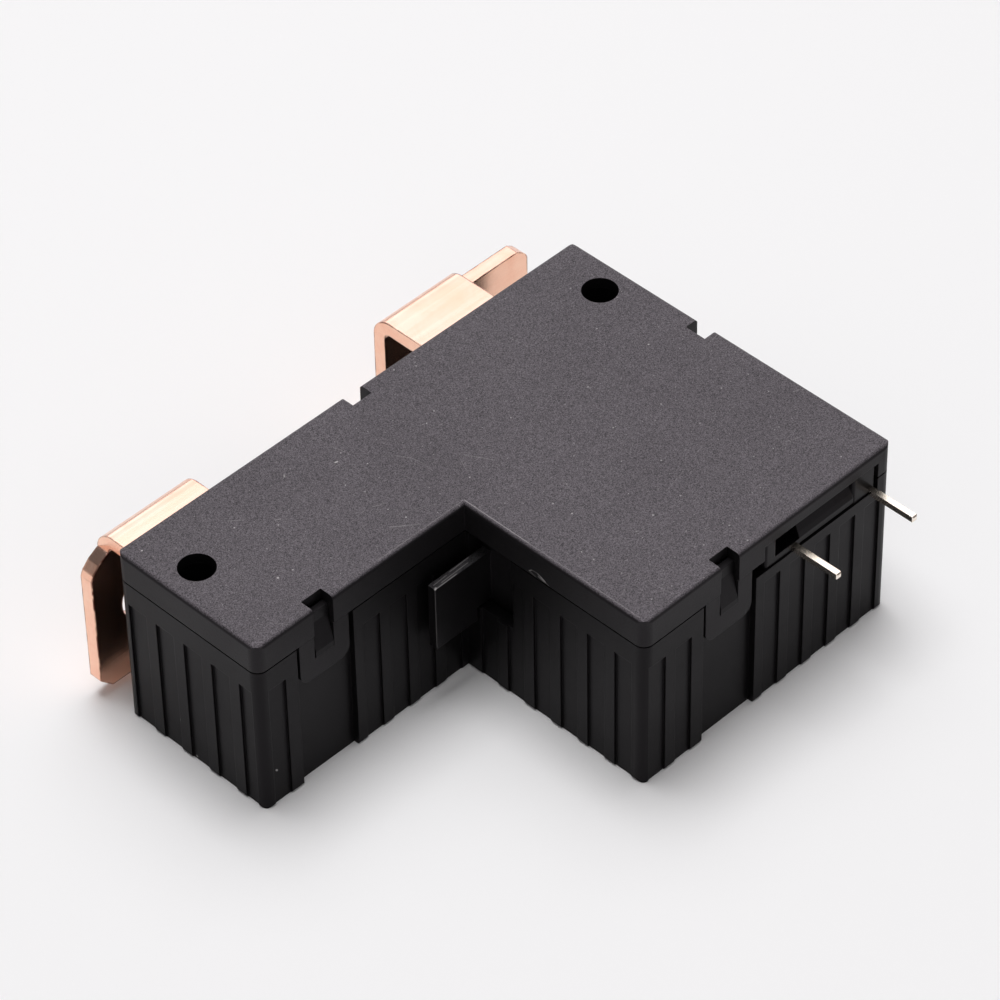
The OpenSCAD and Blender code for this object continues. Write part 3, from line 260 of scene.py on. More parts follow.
class EffectShelf:
    """Builds each shared effect once, as a shader node group."""

    def __init__(self) -> None:
        """Starts with no group built."""
        self._groups: dict[Effect, Tree] = {}
        self._makers = {
            Effect.GRAIN: self._grain, Effect.SPECKS: self._specks,
            Effect.SCRATCHES: self._scratches, Effect.EDGES: self._edges,
            Effect.TONE: self._tone, Effect.STREAKS: self._streaks,
            Effect.STROKE: self._stroke}

    def put(self, wiring: Wiring, effect: Effect, **values: Value) -> Node:
        """Places an effect in a material.

        Args:
            wiring: the material's wiring.
            effect: the effect to place.
            **values: its inputs by name, with _ for a space.

        Returns:
            The group node, with the effect's outputs.
        """
        if effect not in self._groups:
            tree = bpy.data.node_groups.new(effect.value, "ShaderNodeTree")
            self._groups[effect] = self._makers[effect](tree)
        node = wiring.add("Group", node_tree=self._groups[effect])
        for name, value in values.items():
            wiring.feed(node.inputs[name.replace("_", " ").capitalize()], value)
        return node

    @staticmethod
    def _open(tree: Tree, inputs: dict[str, Union[float, Point]]) -> tuple[Wiring, Node]:
        """Gives a group its inputs.

        Args:
            tree: the group's tree.
            inputs: the default of each input by name, a number or a vector.

        Returns:
            The group's wiring and its input node.
        """
        for name, default in inputs.items():
            kind = "NodeSocketFloat" if isinstance(default, float) else "NodeSocketVector"
            socket = tree.interface.new_socket(name=name, in_out="INPUT", socket_type=kind)
            socket.default_value = default
        return Wiring(tree), tree.nodes.new("NodeGroupInput")

    @staticmethod
    def _close(wiring: Wiring, results: dict[str, Socket]) -> Tree:
        """Gives a group its outputs.

        Args:
            wiring: the group's wiring.
            results: the socket behind each output by name.

        Returns:
            The finished group.
        """
        for name, socket in results.items():
            kind = "NodeSocketVector" if socket.type == "VECTOR" else "NodeSocketFloat"
            wiring.tree.interface.new_socket(name=name, in_out="OUTPUT", socket_type=kind)
        end = wiring.tree.nodes.new("NodeGroupOutput")
        for name, socket in results.items():
            wiring.feed(end.inputs[name], socket)
        return wiring.tree

    def _grain(self, tree: Tree) -> Tree:
        """Builds the grain that a spark-eroded mould leaves.

        Args:
            tree: the empty group.

        Returns:
            The group, with a height and a fine mottle.
        """
        wiring, start = self._open(tree, {"Size": 0.2})
        where = wiring.place_in(start.outputs["Size"])
        lumps = wiring.noise(where, scale=1.0, detail=2.0, roughness=0.6)
        pits = wiring.add("TexVoronoi", {"Vector": where, "Scale": 1.4}).outputs["Distance"]
        pit_share, lump_share = 0.4, 0.6
        height = wiring.calc("MULTIPLY_ADD", pits, pit_share, wiring.times(lumps, lump_share))
        patches = wiring.noise(where, scale=2.1, detail=2.0, roughness=0.7)
        darkest, palest = 0.38, 0.62
        mottle = wiring.span(patches, darkest, palest)
        return self._close(wiring, {"Height": height, "Mottle": mottle})

    def _specks(self, tree: Tree) -> Tree:
        """Builds dust that has settled on what faces up.

        Args:
            tree: the empty group.

        Returns:
            The group, with the mask of the specks.
        """
        wiring, start = self._open(tree, {"Spacing": 3.0, "Radius": 0.08, "Amount": 0.3})
        spacing = start.outputs["Spacing"]
        cells, chance = wiring.cells(wiring.place_in(spacing))
        distance = wiring.times(cells.outputs["Distance"], spacing)
        smallest, core, faintest = 0.4, 0.6, 0.25
        share = wiring.span(chance[1], 0.0, 1.0, smallest, 1.0)
        reach = wiring.times(start.outputs["Radius"], share)
        spot = wiring.span(distance, wiring.times(reach, core), reach, 1.0, 0.0)
        kept = wiring.calc("LESS_THAN", chance[0], start.outputs["Amount"])
        strength = wiring.times(kept, wiring.span(chance[2], 0.0, 1.0, faintest, 1.0))
        return self._close(wiring, {"Mask": wiring.times(spot, strength, wiring.upward())})

    def _scratches(self, tree: Tree) -> Tree:
        """Builds short, slightly curved hairlines on what faces up.

        Args:
            tree: the empty group.

        Returns:
            The group, with the mask of the hairlines.
        """
        wiring, start = self._open(tree, {"Spacing": 5.0, "Width": 0.03, "Amount": 0.5})
        spacing = start.outputs["Spacing"]
        where = wiring.place_in(spacing)
        cells, chance = wiring.cells(where)
        local = wiring.vector("SUBTRACT", where, cells.outputs["Position"]).outputs["Vector"]
        turn = wiring.times(chance[0], math.tau)
        cosine, sine = wiring.calc("COSINE", turn), wiring.calc("SINE", turn)
        across = wiring.add("CombineXYZ", {"X": cosine, "Y": sine}).outputs["Vector"]
        back = wiring.times(sine, -1.0)
        along = wiring.add("CombineXYZ", {"X": back, "Y": cosine}).outputs["Vector"]
        run = wiring.dot(local, along)
        most_bend, shortest, longest, full = 0.5, 0.12, 0.42, 0.5
        bend = wiring.span(chance[1], 0.0, 1.0, -most_bend, most_bend)
        aside = wiring.dot(local, across)
        offset = wiring.calc("MULTIPLY_ADD", wiring.times(run, run), bend, aside)
        distance = wiring.times(wiring.calc("ABSOLUTE", offset), spacing)
        line = wiring.span(distance, 0.0, start.outputs["Width"], 1.0, 0.0)
        reach = wiring.span(chance[1], 0.0, 1.0, shortest, longest)
        ends = wiring.span(wiring.calc("ABSOLUTE", run), wiring.times(reach, full), reach, 1.0, 0.0)
        kept = wiring.calc("LESS_THAN", chance[2], start.outputs["Amount"])
        return self._close(wiring, {"Mask": wiring.times(line, ends, kept, wiring.upward())})

    def _edges(self, tree: Tree) -> Tree:
        """Builds the small rounding of outer and inner edges.

        Args:
            tree: the empty group.

        Returns:
            The group, with the rounded normal and a mask of the edges.
        """
        wiring, start = self._open(tree, {"Radius": 0.1})
        reach = wiring.times(start.outputs["Radius"], MM)
        rounded = wiring.add("Bevel", {"Radius": reach}, samples=6).outputs["Normal"]
        agreement = wiring.dot(rounded, wiring.add("NewGeometry").outputs["Normal"])
        flat, turned = 0.998, 0.95
        mask = wiring.span(agreement, flat, turned)
        return self._close(wiring, {"Normal": rounded, "Mask": mask})

    def _tone(self, tree: Tree) -> Tree:
        """Builds large soft patches, such as handling and heat leave.

        Args:
            tree: the empty group.

        Returns:
            The group, with the patches.
        """
        wiring, start = self._open(tree, {"Size": 8.0})
        where = wiring.place_in(start.outputs["Size"])
        clouds = wiring.noise(where, scale=1.0, detail=3.0, distortion=0.6)
        clear, dull = 0.32, 0.68
        return self._close(wiring, {"Tone": wiring.span(clouds, clear, dull)})

    def _streaks(self, tree: Tree) -> Tree:
        """Builds the lines of rolling, drawing and shearing.

        Args:
            tree: the empty group.

        Returns:
            The group, with the streaks as a height and as a broader tone.
        """
        wiring, start = self._open(tree, {"Stretch": (6.0, 0.15, 0.15)})
        where = wiring.vector("DIVIDE", wiring.place(), start.outputs["Stretch"]).outputs["Vector"]
        hollow, crest, clean, dull = 0.3, 0.7, 0.35, 0.65
        height = wiring.span(wiring.noise(where, scale=1.0, detail=2.0), hollow, crest)
        tone = wiring.span(wiring.noise(where, scale=0.3, detail=2.0), clean, dull)
        return self._close(wiring, {"Height": height, "Tone": tone})

    def _stroke(self, tree: Tree) -> Tree:
        """Builds one straight mark between two points.

        Args:
            tree: the empty group.

        Returns:
            The group, with the mask of the mark.
        """
        defaults = {"Start": (0.0, 0.0, 0.0), "End": (1.0, 0.0, 0.0), "Width": 0.05}
        wiring, start = self._open(tree, defaults)
        first, last, width = (start.outputs[name] for name in ("Start", "End", "Width"))
        reach = wiring.vector("SUBTRACT", wiring.place(), first).outputs["Vector"]
        run = wiring.vector("SUBTRACT", last, first).outputs["Vector"]
        share = wiring.calc("DIVIDE", wiring.dot(reach, run), wiring.dot(run, run), clamp=True)
        nearest = wiring.vector("SCALE", run, scale=share).outputs["Vector"]
        distance = wiring.vector("DISTANCE", reach, nearest).outputs["Value"]
        full = 0.3
        mask = wiring.span(distance, wiring.times(width, full), width, 1.0, 0.0)
        return self._close(wiring, {"Mask": mask})


@dataclass(frozen=True)
class Mark:
    """One straight scratch or painted highlight line, or one fleck where both ends nearly meet, in
    millimetres.

    Attributes:
        start: its first end.
        end: its last end.
        width: half of its breadth.
        strength: how much of its colour shows.
    """

    start: Point
    end: Point
    width: float
    strength: float


@dataclass(frozen=True)
class Layer:
    """Dust specks that also stand for painted glints, or hairlines, of one size, in millimetres.

    Attributes:
        spacing: how far apart they lie.
        reach: a speck's radius, or half of a hairline's breadth.
        strength: how much of their colour shows.
    """

    spacing: float
    reach: float
    strength: float


SPECK_LAYERS = (Layer(2.8, 0.115, 1.0), Layer(1.1, 0.085, 0.45))
HAIRLINE_LAYERS = (Layer(9.0, 0.05, 0.16), Layer(4.0, 0.045, 0.12))


@dataclass(frozen=True)
class PlasticFinish:
    """A moulded plastic.

    Attributes:
        colour: the plain colour.
        roughness: the middle roughness.
        specular: the specular level.
        grain_size: the size of the mould's grain in millimetres.
        grain_depth: the depth of the grain in millimetres.
        mottle: how far the grain lightens and darkens the colour.
        painted_top_sheen: the colour of what faces up, a painted sheen much lighter than the plain
            colour, standing in for the gloss the top catches; the grain mottles it into painted
            glints.
        dust_and_glints: the share of cells that hold a speck, dust and painted glint alike.
        scratches: the share of cells that hold a hairline.
        edge_radius: the rounding of its edges in millimetres.
        marks: its own scratches and flecks, and painted highlight lines.
        mark_colour: the colour of dust specks, painted glints, scratches, flecks and painted
            highlight lines.
        patch: the size of the patches that handling leaves, in millimetres.
        patch_gloss: how far those patches change the roughness.
        painted_sheen_spread: how far those patches dim and brighten the painted sheen.
        sheen: the tint of its gloss.
    """

    colour: Colour
    roughness: float = 0.5
    specular: float = 0.4
    grain_size: float = 0.18
    grain_depth: float = 0.006
    mottle: float = 0.3
    painted_top_sheen: Optional[Colour] = None
    dust_and_glints: float = 0.0
    scratches: float = 0.0
    edge_radius: float = 0.08
    marks: tuple[Mark, ...] = ()
    mark_colour: Colour = (0.42, 0.4, 0.4)
    patch: float = 9.0
    patch_gloss: float = 0.03
    painted_sheen_spread: float = 0.05
    sheen: Colour = (1.0, 0.9, 1.0)

    def material(self, name: str, effects: EffectShelf) -> bpy.types.Material:
        """Builds the material.

        Args:
            name: its name.
            effects: the shared effects.

        Returns:
            The material.
        """
        material, wiring, shader = new_material(name)
        grain = effects.put(wiring, Effect.GRAIN, size=self.grain_size)
        edges = effects.put(wiring, Effect.EDGES, radius=self.edge_radius)
        tone = effects.put(wiring, Effect.TONE, size=self.patch).outputs["Tone"]
        colour = self._mottled(wiring, grain, self.colour)
        # Painted sheen: what faces up takes a lighter colour than the walls, mottled by the grain
        # into painted glints.
        if self.painted_top_sheen:
            dimmer_sheen, brighter_sheen = (self._mottled(wiring, grain, shaded(self.painted_top_sheen, 1.0 + change))
                           for change in (-self.painted_sheen_spread, self.painted_sheen_spread))
            colour = wiring.mix(wiring.upward(), colour, wiring.mix(tone, dimmer_sheen, brighter_sheen))
        for mask in self._masks(wiring, effects):
            colour = wiring.mix(mask, colour, self.mark_colour)
        dull, glossy = self.roughness + self.patch_gloss, self.roughness - self.patch_gloss
        roughness = wiring.span(tone, 0.0, 1.0, dull, glossy)
        bump = wiring.add("Bump", {
            "Height": grain.outputs["Height"], "Distance": self.grain_depth * MM,
            "Normal": edges.outputs["Normal"]})
        wiring.feed(shader.inputs["Base Color"], colour)
        wiring.feed(shader.inputs["Roughness"], roughness)
        wiring.feed(shader.inputs["Normal"], bump.outputs["Normal"])
        shader.inputs["Specular IOR Level"].default_value = self.specular
        shader.inputs["Specular Tint"].default_value = (*self.sheen, 1.0)
        return material

    def _mottled(self, wiring: Wiring, grain: Node, colour: Colour) -> Socket:
        """Lightens and darkens a colour by the grain.

        Args:
            wiring: the material's wiring.
            grain: the grain's group node.
            colour: the plain colour.

        Returns:
            The mottled colour's socket.
        """
        dark, pale = shaded(colour, 1.0 - self.mottle), shaded(colour, 1.0 + self.mottle)
        return wiring.mix(grain.outputs["Mottle"], dark, pale)

    def _masks(self, wiring: Wiring, effects: EffectShelf) -> list[Socket]:
        """Lists what lies on the surface.

        Args:
            wiring: the material's wiring.
            effects: the shared effects.

        Returns:
            One mask for each kind of dust speck and painted glint, hairline, mark and painted
            highlight.
        """
        masks = []
        # Dust specks, which also stand for painted glints on the top.
        for layer in SPECK_LAYERS if self.dust_and_glints else ():
            specks = effects.put(wiring, Effect.SPECKS, spacing=layer.spacing, radius=layer.reach,
                                 amount=self.dust_and_glints)
            masks.append(wiring.times(specks.outputs["Mask"], layer.strength))
        for layer in HAIRLINE_LAYERS if self.scratches else ():
            lines = effects.put(wiring, Effect.SCRATCHES, spacing=layer.spacing, width=layer.reach,
                                amount=self.scratches)
            masks.append(wiring.times(lines.outputs["Mask"], layer.strength))
        for mark in self.marks:
            stroke = effects.put(wiring, Effect.STROKE, start=mark.start, end=mark.end,
                                 width=mark.width)
            masks.append(wiring.times(stroke.outputs["Mask"], mark.strength))
        return masks


@dataclass(frozen=True)
class MetalFinish:
    """A bare or plated metal.

    Attributes:
        colour: the clean colour; where a shaded side is given, the paler colour of what faces up, a
            painted highlight.
        tarnish: the colour of its duller patches.
        shaded_side: a shaded copy of the colour, deeper and more saturated, for what doesn't face up,
            where that differs; the top's paler colour is a painted highlight.
        roughness: the middle roughness.
        streaks: the length of rolling or drawing lines along X, Y and Z, in millimetres.
        streak_depth: the depth of those lines in millimetres.
        patch: the size of the duller patches in millimetres.
        patch_strength: how much the patches show.
        edge_dark: how much the edges darken towards their own colour.
        edge_colour: that colour.
        edge_gap: the size of the gaps in it, in millimetres.
        edge_radius: the rounding of its edges in millimetres.
        pit_size: the size of its pits in millimetres.
        pit_share: the share of the pits in its relief.
    """

    colour: Colour
    tarnish: Colour
    shaded_side: Optional[Colour] = None
    roughness: float = 0.3
    streaks: Point = (5.0, 0.2, 0.2)
    streak_depth: float = 0.002
    patch: float = 4.0
    patch_strength: float = 0.4
    edge_dark: float = 0.0
    edge_colour: Colour = (0.12, 0.022, 0.012)
    edge_gap: float = 1.6
    edge_radius: float = 0.12
    pit_size: float = 0.3
    pit_share: float = 0.25

    def material(self, name: str, effects: EffectShelf) -> bpy.types.Material:
        """Builds the material.

        Args:
            name: its name.
            effects: the shared effects.

        Returns:
            The material.
        """
        material, wiring, shader = new_material(name)
        edges = effects.put(wiring, Effect.EDGES, radius=self.edge_radius)
        tone = effects.put(wiring, Effect.TONE, size=self.patch).outputs["Tone"]
        lines = effects.put(wiring, Effect.STREAKS, stretch=self.streaks)
        pits = effects.put(wiring, Effect.GRAIN, size=self.pit_size)
        # Painted light: what faces up takes the paler, lit colour, and the rest the shaded copy.
        clean = wiring.mix(wiring.upward(), self.shaded_side, self.colour) if self.shaded_side else self.colour
        line_share = 0.25
        colour = wiring.mix(wiring.times(tone, self.patch_strength), clean, self.tarnish)
        colour = wiring.mix(wiring.times(lines.outputs["Tone"], line_share), colour, self.tarnish)
        if self.edge_dark:
            gaps = effects.put(wiring, Effect.TONE, size=self.edge_gap).outputs["Tone"]
            bare, whole, faintest = 0.3, 0.7, 0.1
            share = wiring.span(gaps, bare, whole, faintest, 1.0)
            broken = wiring.times(edges.outputs["Mask"], share)
            colour = wiring.mix(wiring.times(broken, self.edge_dark), colour, self.edge_colour)
        pit_wear, patch_wear, smoothest, roughest = 0.3, 0.7, 0.8, 1.3
        wear = wiring.calc("MULTIPLY_ADD", pits.outputs["Mottle"], pit_wear,
                           wiring.times(tone, patch_wear))
        roughness = wiring.span(wear, 0.0, 1.0, self.roughness * smoothest,
                                self.roughness * roughest)
        height = wiring.calc("MULTIPLY_ADD", pits.outputs["Height"], self.pit_share,
                             lines.outputs["Height"])
        bump = wiring.add("Bump", {"Height": height, "Distance": self.streak_depth * MM,
                                   "Normal": edges.outputs["Normal"]})
        wiring.feed(shader.inputs["Base Color"], colour)
        wiring.feed(shader.inputs["Roughness"], roughness)
        wiring.feed(shader.inputs["Normal"], bump.outputs["Normal"])
        shader.inputs["Metallic"].default_value = 1.0
        return material


@dataclass(frozen=True)
class WireFinish:
    """Enamelled wire, wound in close turns along X.

    Attributes:
        colour: the colour of the enamel over copper.
        shade_between_turns: painted shade, darker than the enamel, in the grooves between turns.
        pitch: the distance between turns in millimetres.
        roughness: the roughness of the enamel.
        patch: the size of its darker patches in millimetres.
        patch_strength: how much the patches show.
        patch_shade: how dark they are beside the plain colour.
        metallic: how much it reflects as the copper under the enamel does.
    """

    colour: Colour
    shade_between_turns: Colour
    pitch: float = 0.16
    roughness: float = 0.3
    patch: float = 5.0
    patch_strength: float = 0.3
    patch_shade: float = 0.7
    metallic: float = 0.6

    def material(self, name: str, effects: EffectShelf) -> bpy.types.Material:
        """Builds the material.

        Args:
            name: its name.
            effects: the shared effects.

        Returns:
            The material.
        """
        material, wiring, shader = new_material(name)
        along = wiring.add("SeparateXYZ", {"Vector": wiring.place()}).outputs["X"]
        phase = wiring.times(along, math.pi / self.pitch)
        wave = wiring.calc("ABSOLUTE", wiring.calc("SINE", phase))
        tone = effects.put(wiring, Effect.TONE, size=self.patch).outputs["Tone"]
        dark = shaded(self.colour, self.patch_shade)
        colour = wiring.mix(wiring.times(tone, self.patch_strength), self.colour, dark)
        # Painted shade in the grooves between turns, where the wave runs low.
        groove_height, groove_shade = 0.4, 0.8
        colour = wiring.mix(wiring.span(wave, 0.0, groove_height, groove_shade, 0.0), colour, self.shade_between_turns)
        bump = wiring.add("Bump", {"Height": wave, "Distance": self.pitch / 2 * MM})
        wiring.feed(shader.inputs["Base Color"], colour)
        patch_roughness = 0.1
        roughness = wiring.span(tone, 0.0, 1.0, self.roughness, self.roughness + patch_roughness)
        wiring.feed(shader.inputs["Roughness"], roughness)
        wiring.feed(shader.inputs["Normal"], bump.outputs["Normal"])
        shader.inputs["Metallic"].default_value = self.metallic
        return material


def shaded(colour: Colour, factor: float) -> Colour:
    """Lightens or darkens a colour.

    Args:
        colour: the colour.
        factor: what each of its parts is multiplied by.

    Returns:
        The new colour, no part over 1.
    """
    return tuple(min(1.0, part * factor) for part in colour)


def new_material(name: str) -> tuple[bpy.types.Material, Wiring, Node]:
    """Makes a material with one Principled shader.

    Args:
        name: the material's name.

    Returns:
        The material, its wiring and the shader.
    """
    material = bpy.data.materials.new(name)
    material.use_nodes = True
    wiring = Wiring(material.node_tree)
    shader = wiring.add("BsdfPrincipled")
    output = wiring.add("OutputMaterial")
    wiring.feed(output.inputs["Surface"], shader.outputs["BSDF"])
    return material, wiring, shader


# Where the faces and rims with marks and painted highlights lie, in millimetres
TOP = 21.0
LEVER_TOP = 15.05
NOTCH_WALL = 22.7
NOTCH_RIM_X, NOTCH_RIM_Y = 23.11, -11.24
LEVER_X, LEVER_Y = 17.05, -13.35
PIN_WALL = -34.5

COVER_MARKS = (
    Mark((18.42, 0.94, TOP), (18.62, 0.9, TOP), 0.13, 0.9),
    Mark((4.15, -6.34, TOP), (4.17, -6.3, TOP), 0.15, 0.9),
    Mark((13.8, 2.95, TOP), (13.95, 3.15, TOP), 0.1, 0.5),
    Mark((29.73, -0.66, TOP), (29.75, -0.62, TOP), 0.1, 0.7),
    Mark((33.01, 5.05, TOP), (33.05, 5.07, TOP), 0.09, 0.7),
    Mark((31.18, 6.16, TOP), (31.2, 6.2, TOP), 0.1, 0.7),
    Mark((6.13, 2.4, TOP), (7.18, 1.5, TOP), 0.07, 0.2),
    Mark((9.21, -0.62, TOP), (9.68, -0.92, TOP), 0.07, 0.35),
    Mark((22.03, -1.56, TOP), (23.0, -2.55, TOP), 0.06, 0.16),
    Mark((23.0, -2.55, TOP), (23.76, -3.77, TOP), 0.06, 0.18),
    Mark((23.76, -3.77, TOP), (23.95, -5.0, TOP), 0.06, 0.16),
    Mark((23.95, -5.0, TOP), (23.89, -6.27, TOP), 0.06, 0.12),
    Mark((27.45, -7.04, TOP), (28.89, -9.53, TOP), 0.06, 0.2),
    Mark((15.85, -8.91, TOP), (16.9, -9.75, TOP), 0.08, 0.3),
    Mark((16.9, -9.75, TOP), (18.03, -10.61, TOP), 0.06, 0.2),
    Mark((16.57, -5.81, TOP), (17.83, -6.36, TOP), 0.06, 0.22),
    Mark((19.64, 2.92, TOP), (20.03, 1.32, TOP), 0.07, 0.16),
    Mark((54.92, -23.2, TOP), (55.5, -23.35, TOP), 0.06, 0.25),
    Mark((55.5, -23.35, TOP), (55.88, -23.7, TOP), 0.06, 0.2),
    Mark((49.28, -27.31, TOP), (51.04, -27.97, TOP), 0.06, 0.16),
    Mark((41.98, 2.06, TOP), (42.26, -0.73, TOP), 0.06, 0.12),
    # Painted highlights: light lines along the notch's top rims, where the rounded edge catches the
    # overhead light.
    Mark((NOTCH_RIM_X, -11.3, TOP), (NOTCH_RIM_X, -19.5, TOP), 0.06, 0.45),
    Mark((NOTCH_RIM_X, -19.5, TOP), (NOTCH_RIM_X, -33.5, TOP), 0.06, 0.2),
    Mark((12.0, NOTCH_RIM_Y, TOP), (23.1, NOTCH_RIM_Y, TOP), 0.06, 0.16),
    Mark((NOTCH_WALL, -19.98, 18.05), (NOTCH_WALL, -20.28, 18.33), 0.09, 0.4),
    Mark((NOTCH_WALL, -20.35, 18.38), (NOTCH_WALL, -21.0, 18.42), 0.06, 0.3),
    Mark((NOTCH_WALL, -21.1, 18.38), (NOTCH_WALL, -21.5, 18.24), 0.1, 0.45),
    Mark((NOTCH_WALL, -21.5, 18.22), (NOTCH_WALL, -22.0, 17.98), 0.13, 0.65),
    Mark((NOTCH_WALL, -22.0, 17.96), (NOTCH_WALL, -22.45, 17.8), 0.06, 0.3),
    Mark((NOTCH_WALL, -21.15, 18.1), (NOTCH_WALL, -21.8, 17.92), 0.1, 0.4),
    Mark((NOTCH_WALL, -20.15, 18.0), (NOTCH_WALL, -20.75, 17.86), 0.08, 0.25),
)
CARD_MARKS = (
    # Painted highlights: light lines along the lever's top and its near edge, where light catches
    # them.
    Mark((LEVER_X, LEVER_Y, 15.0), (LEVER_X, LEVER_Y, 7.6), 0.09, 0.16),
    Mark((LEVER_X, LEVER_Y, LEVER_TOP), (17.3, -13.2, LEVER_TOP), 0.14, 0.8),
    Mark((17.1, -13.3, LEVER_TOP), (19.9, -13.25, LEVER_TOP), 0.08, 0.4),
    Mark((18.2, -13.05, LEVER_TOP), (21.7, -12.95, LEVER_TOP), 0.07, 0.3),
    Mark((17.4, -12.8, LEVER_TOP), (19.2, -12.7, LEVER_TOP), 0.07, 0.25),
    Mark((19.7, -12.6, LEVER_TOP), (22.2, -12.5, LEVER_TOP), 0.08, 0.3),
)
CASE_MARKS = (
    Mark((35.78, PIN_WALL, 11.2), (35.95, PIN_WALL, 10.95), 0.09, 0.6),
    Mark((-3.75, -0.2, 4.3), (-3.35, -0.62, 3.77), 0.13, 0.8),
    Mark((-3.75, -1.8, 0.6), (-3.45, -2.1, 0.3), 0.13, 0.8),
    Mark((-2.22, -11.75, 4.49), (-1.8, -11.33, 3.93), 0.13, 0.9),
)

FINISHES = {
    Finish.COVER: PlasticFinish(
        (0.0038, 0.0036, 0.0038), roughness=0.5, specular=0.2, dust_and_glints=0.4, scratches=0.45,
        grain_size=0.2, grain_depth=0.012, mottle=0.78, painted_top_sheen=(0.077, 0.069, 0.077),
        marks=COVER_MARKS),
    Finish.CASE: PlasticFinish(
        (0.003, 0.0028, 0.003), roughness=0.42, specular=0.12, marks=CASE_MARKS),
    Finish.CARD: PlasticFinish(
        (0.004, 0.0038, 0.0041), roughness=0.42, specular=0.2, mottle=0.8, edge_radius=0.1,
        painted_top_sheen=(0.03, 0.029, 0.031), marks=CARD_MARKS),
    Finish.CARRIER: PlasticFinish((0.02, 0.02, 0.021), roughness=0.45),
    Finish.BOBBIN: PlasticFinish(
        (0.003, 0.0028, 0.003), roughness=0.3, specular=0.1, edge_radius=0.12),
    Finish.TAPE: PlasticFinish((0.55, 0.42, 0.09), roughness=0.35, grain_depth=0.002, mottle=0.08),
    Finish.COPPER: MetalFinish(
        (0.96, 0.68, 0.57), (0.88, 0.42, 0.28), shaded_side=(0.98, 0.63, 0.47), roughness=0.2,
        streak_depth=0.0014, edge_dark=1.0, edge_radius=0.26),
    Finish.SPRING_COPPER: MetalFinish((0.87, 0.5, 0.33), (0.6, 0.3, 0.18), roughness=0.25),
    Finish.SPRING_STEEL: MetalFinish((0.62, 0.61, 0.6), (0.45, 0.43, 0.41), roughness=0.25),
    Finish.SILVER: MetalFinish((0.93, 0.92, 0.89), (0.7, 0.67, 0.6), roughness=0.3),
    Finish.IRON: MetalFinish(
        (0.58, 0.57, 0.56), (0.4, 0.38, 0.36), roughness=0.4, streaks=(0.3, 4.0, 0.3)),
    Finish.SHAFT: MetalFinish(
        (0.68, 0.67, 0.66), (0.5, 0.49, 0.47), roughness=0.15, streaks=(0.2, 0.2, 6.0)),
    Finish.MAGNET: MetalFinish((0.5, 0.5, 0.52), (0.33, 0.33, 0.34), roughness=0.35),
    Finish.WIRE: WireFinish((0.5, 0.16, 0.06), (0.08, 0.02, 0.01)),
    Finish.PIN: MetalFinish(
        (0.98, 0.95, 0.91), (0.88, 0.68, 0.46), roughness=0.21, streaks=(0.1, 4.0, 0.1),
        streak_depth=0.0008, patch_strength=0.35, edge_dark=0.7, edge_colour=(0.25, 0.13, 0.06),
        edge_radius=0.06),
}


class FinishShelf:
    """Builds each finish's material once and puts it on the relay's nodes."""

    def __init__(self) -> None:
        """Starts with no material built."""
        self._effects = EffectShelf()
        self._materials: dict[Finish, bpy.types.Material] = {}

    def get(self, finish: Finish) -> bpy.types.Material:
        """Finds or builds a material.

        Args:
            finish: which finish it is.

        Returns:
            The material.
        """
        if finish not in self._materials:
            self._materials[finish] = FINISHES[finish].material(finish.value, self._effects)
        return self._materials[finish]

    def dress(self, node: str, finish: Finish) -> None:
        """Gives one node of the frame its finish.

        Args:
            node: the node's name.
            finish: its finish.
        """
        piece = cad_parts[node]
        if not piece.material_slots:
            piece.data.materials.append(None)
        for slot in piece.material_slots:
            slot.material = self.get(finish)
        LOG.info("%s: %s", node, finish.value)


@dataclass
class SubAssembly:
    """A group of nodes that are made and fitted together.

    Attributes:
        finishes: the finish of each node by name.
    """

    finishes: dict[str, Finish] = field(default_factory=dict)

    def dress(self, shelf: FinishShelf) -> None:
        """Gives each node its finish.

        Args:
            shelf: the finishes.
        """
        for node, finish in self.finishes.items():
            shelf.dress(node, finish)


@dataclass
class Housing(SubAssembly):
    """The case and its cover."""

    finishes: dict[str, Finish] = field(default_factory=lambda: {
        "case": Finish.CASE, "cover": Finish.COVER})


@dataclass
class Terminals(SubAssembly):
    """The two copper terminals with their contacts and the contact spring."""

    finishes: dict[str, Finish] = field(default_factory=lambda: {
        "fixed_terminal": Finish.COPPER, "spring_terminal": Finish.COPPER,
        "spring_root": Finish.COPPER, "contact_spring": Finish.SPRING_COPPER,
        "backing_spring": Finish.SPRING_STEEL,
        "fixed_contact_lower": Finish.SILVER, "fixed_contact_upper": Finish.SILVER,
        "moving_contact_lower": Finish.SILVER, "moving_contact_upper": Finish.SILVER,
        "spring_rivet_left": Finish.COPPER, "spring_rivet_right": Finish.COPPER})


@dataclass
class Drive(SubAssembly):
    """The card with its lever, and the rocking armature that moves it."""

    finishes: dict[str, Finish] = field(default_factory=lambda: {
        "pusher_card": Finish.CARD, "armature_carrier": Finish.CARRIER,
        "armature_plate_inner": Finish.IRON, "armature_plate_outer": Finish.IRON,
        "magnet_front": Finish.MAGNET, "magnet_rear": Finish.MAGNET,
        "armature_shaft": Finish.SHAFT})


@dataclass
class CoilUnit(SubAssembly):
    """The coil on its bobbin, with its yokes and pins."""

    finishes: dict[str, Finish] = field(default_factory=lambda: {
        "bobbin": Finish.BOBBIN, "winding": Finish.WIRE, "winding_tape": Finish.TAPE,
        "core": Finish.IRON, "yoke_front": Finish.IRON, "yoke_rear": Finish.IRON,
        "coil_pin_left": Finish.PIN, "coil_pin_right": Finish.PIN,
        "coil_lead_left": Finish.WIRE, "coil_lead_right": Finish.WIRE})


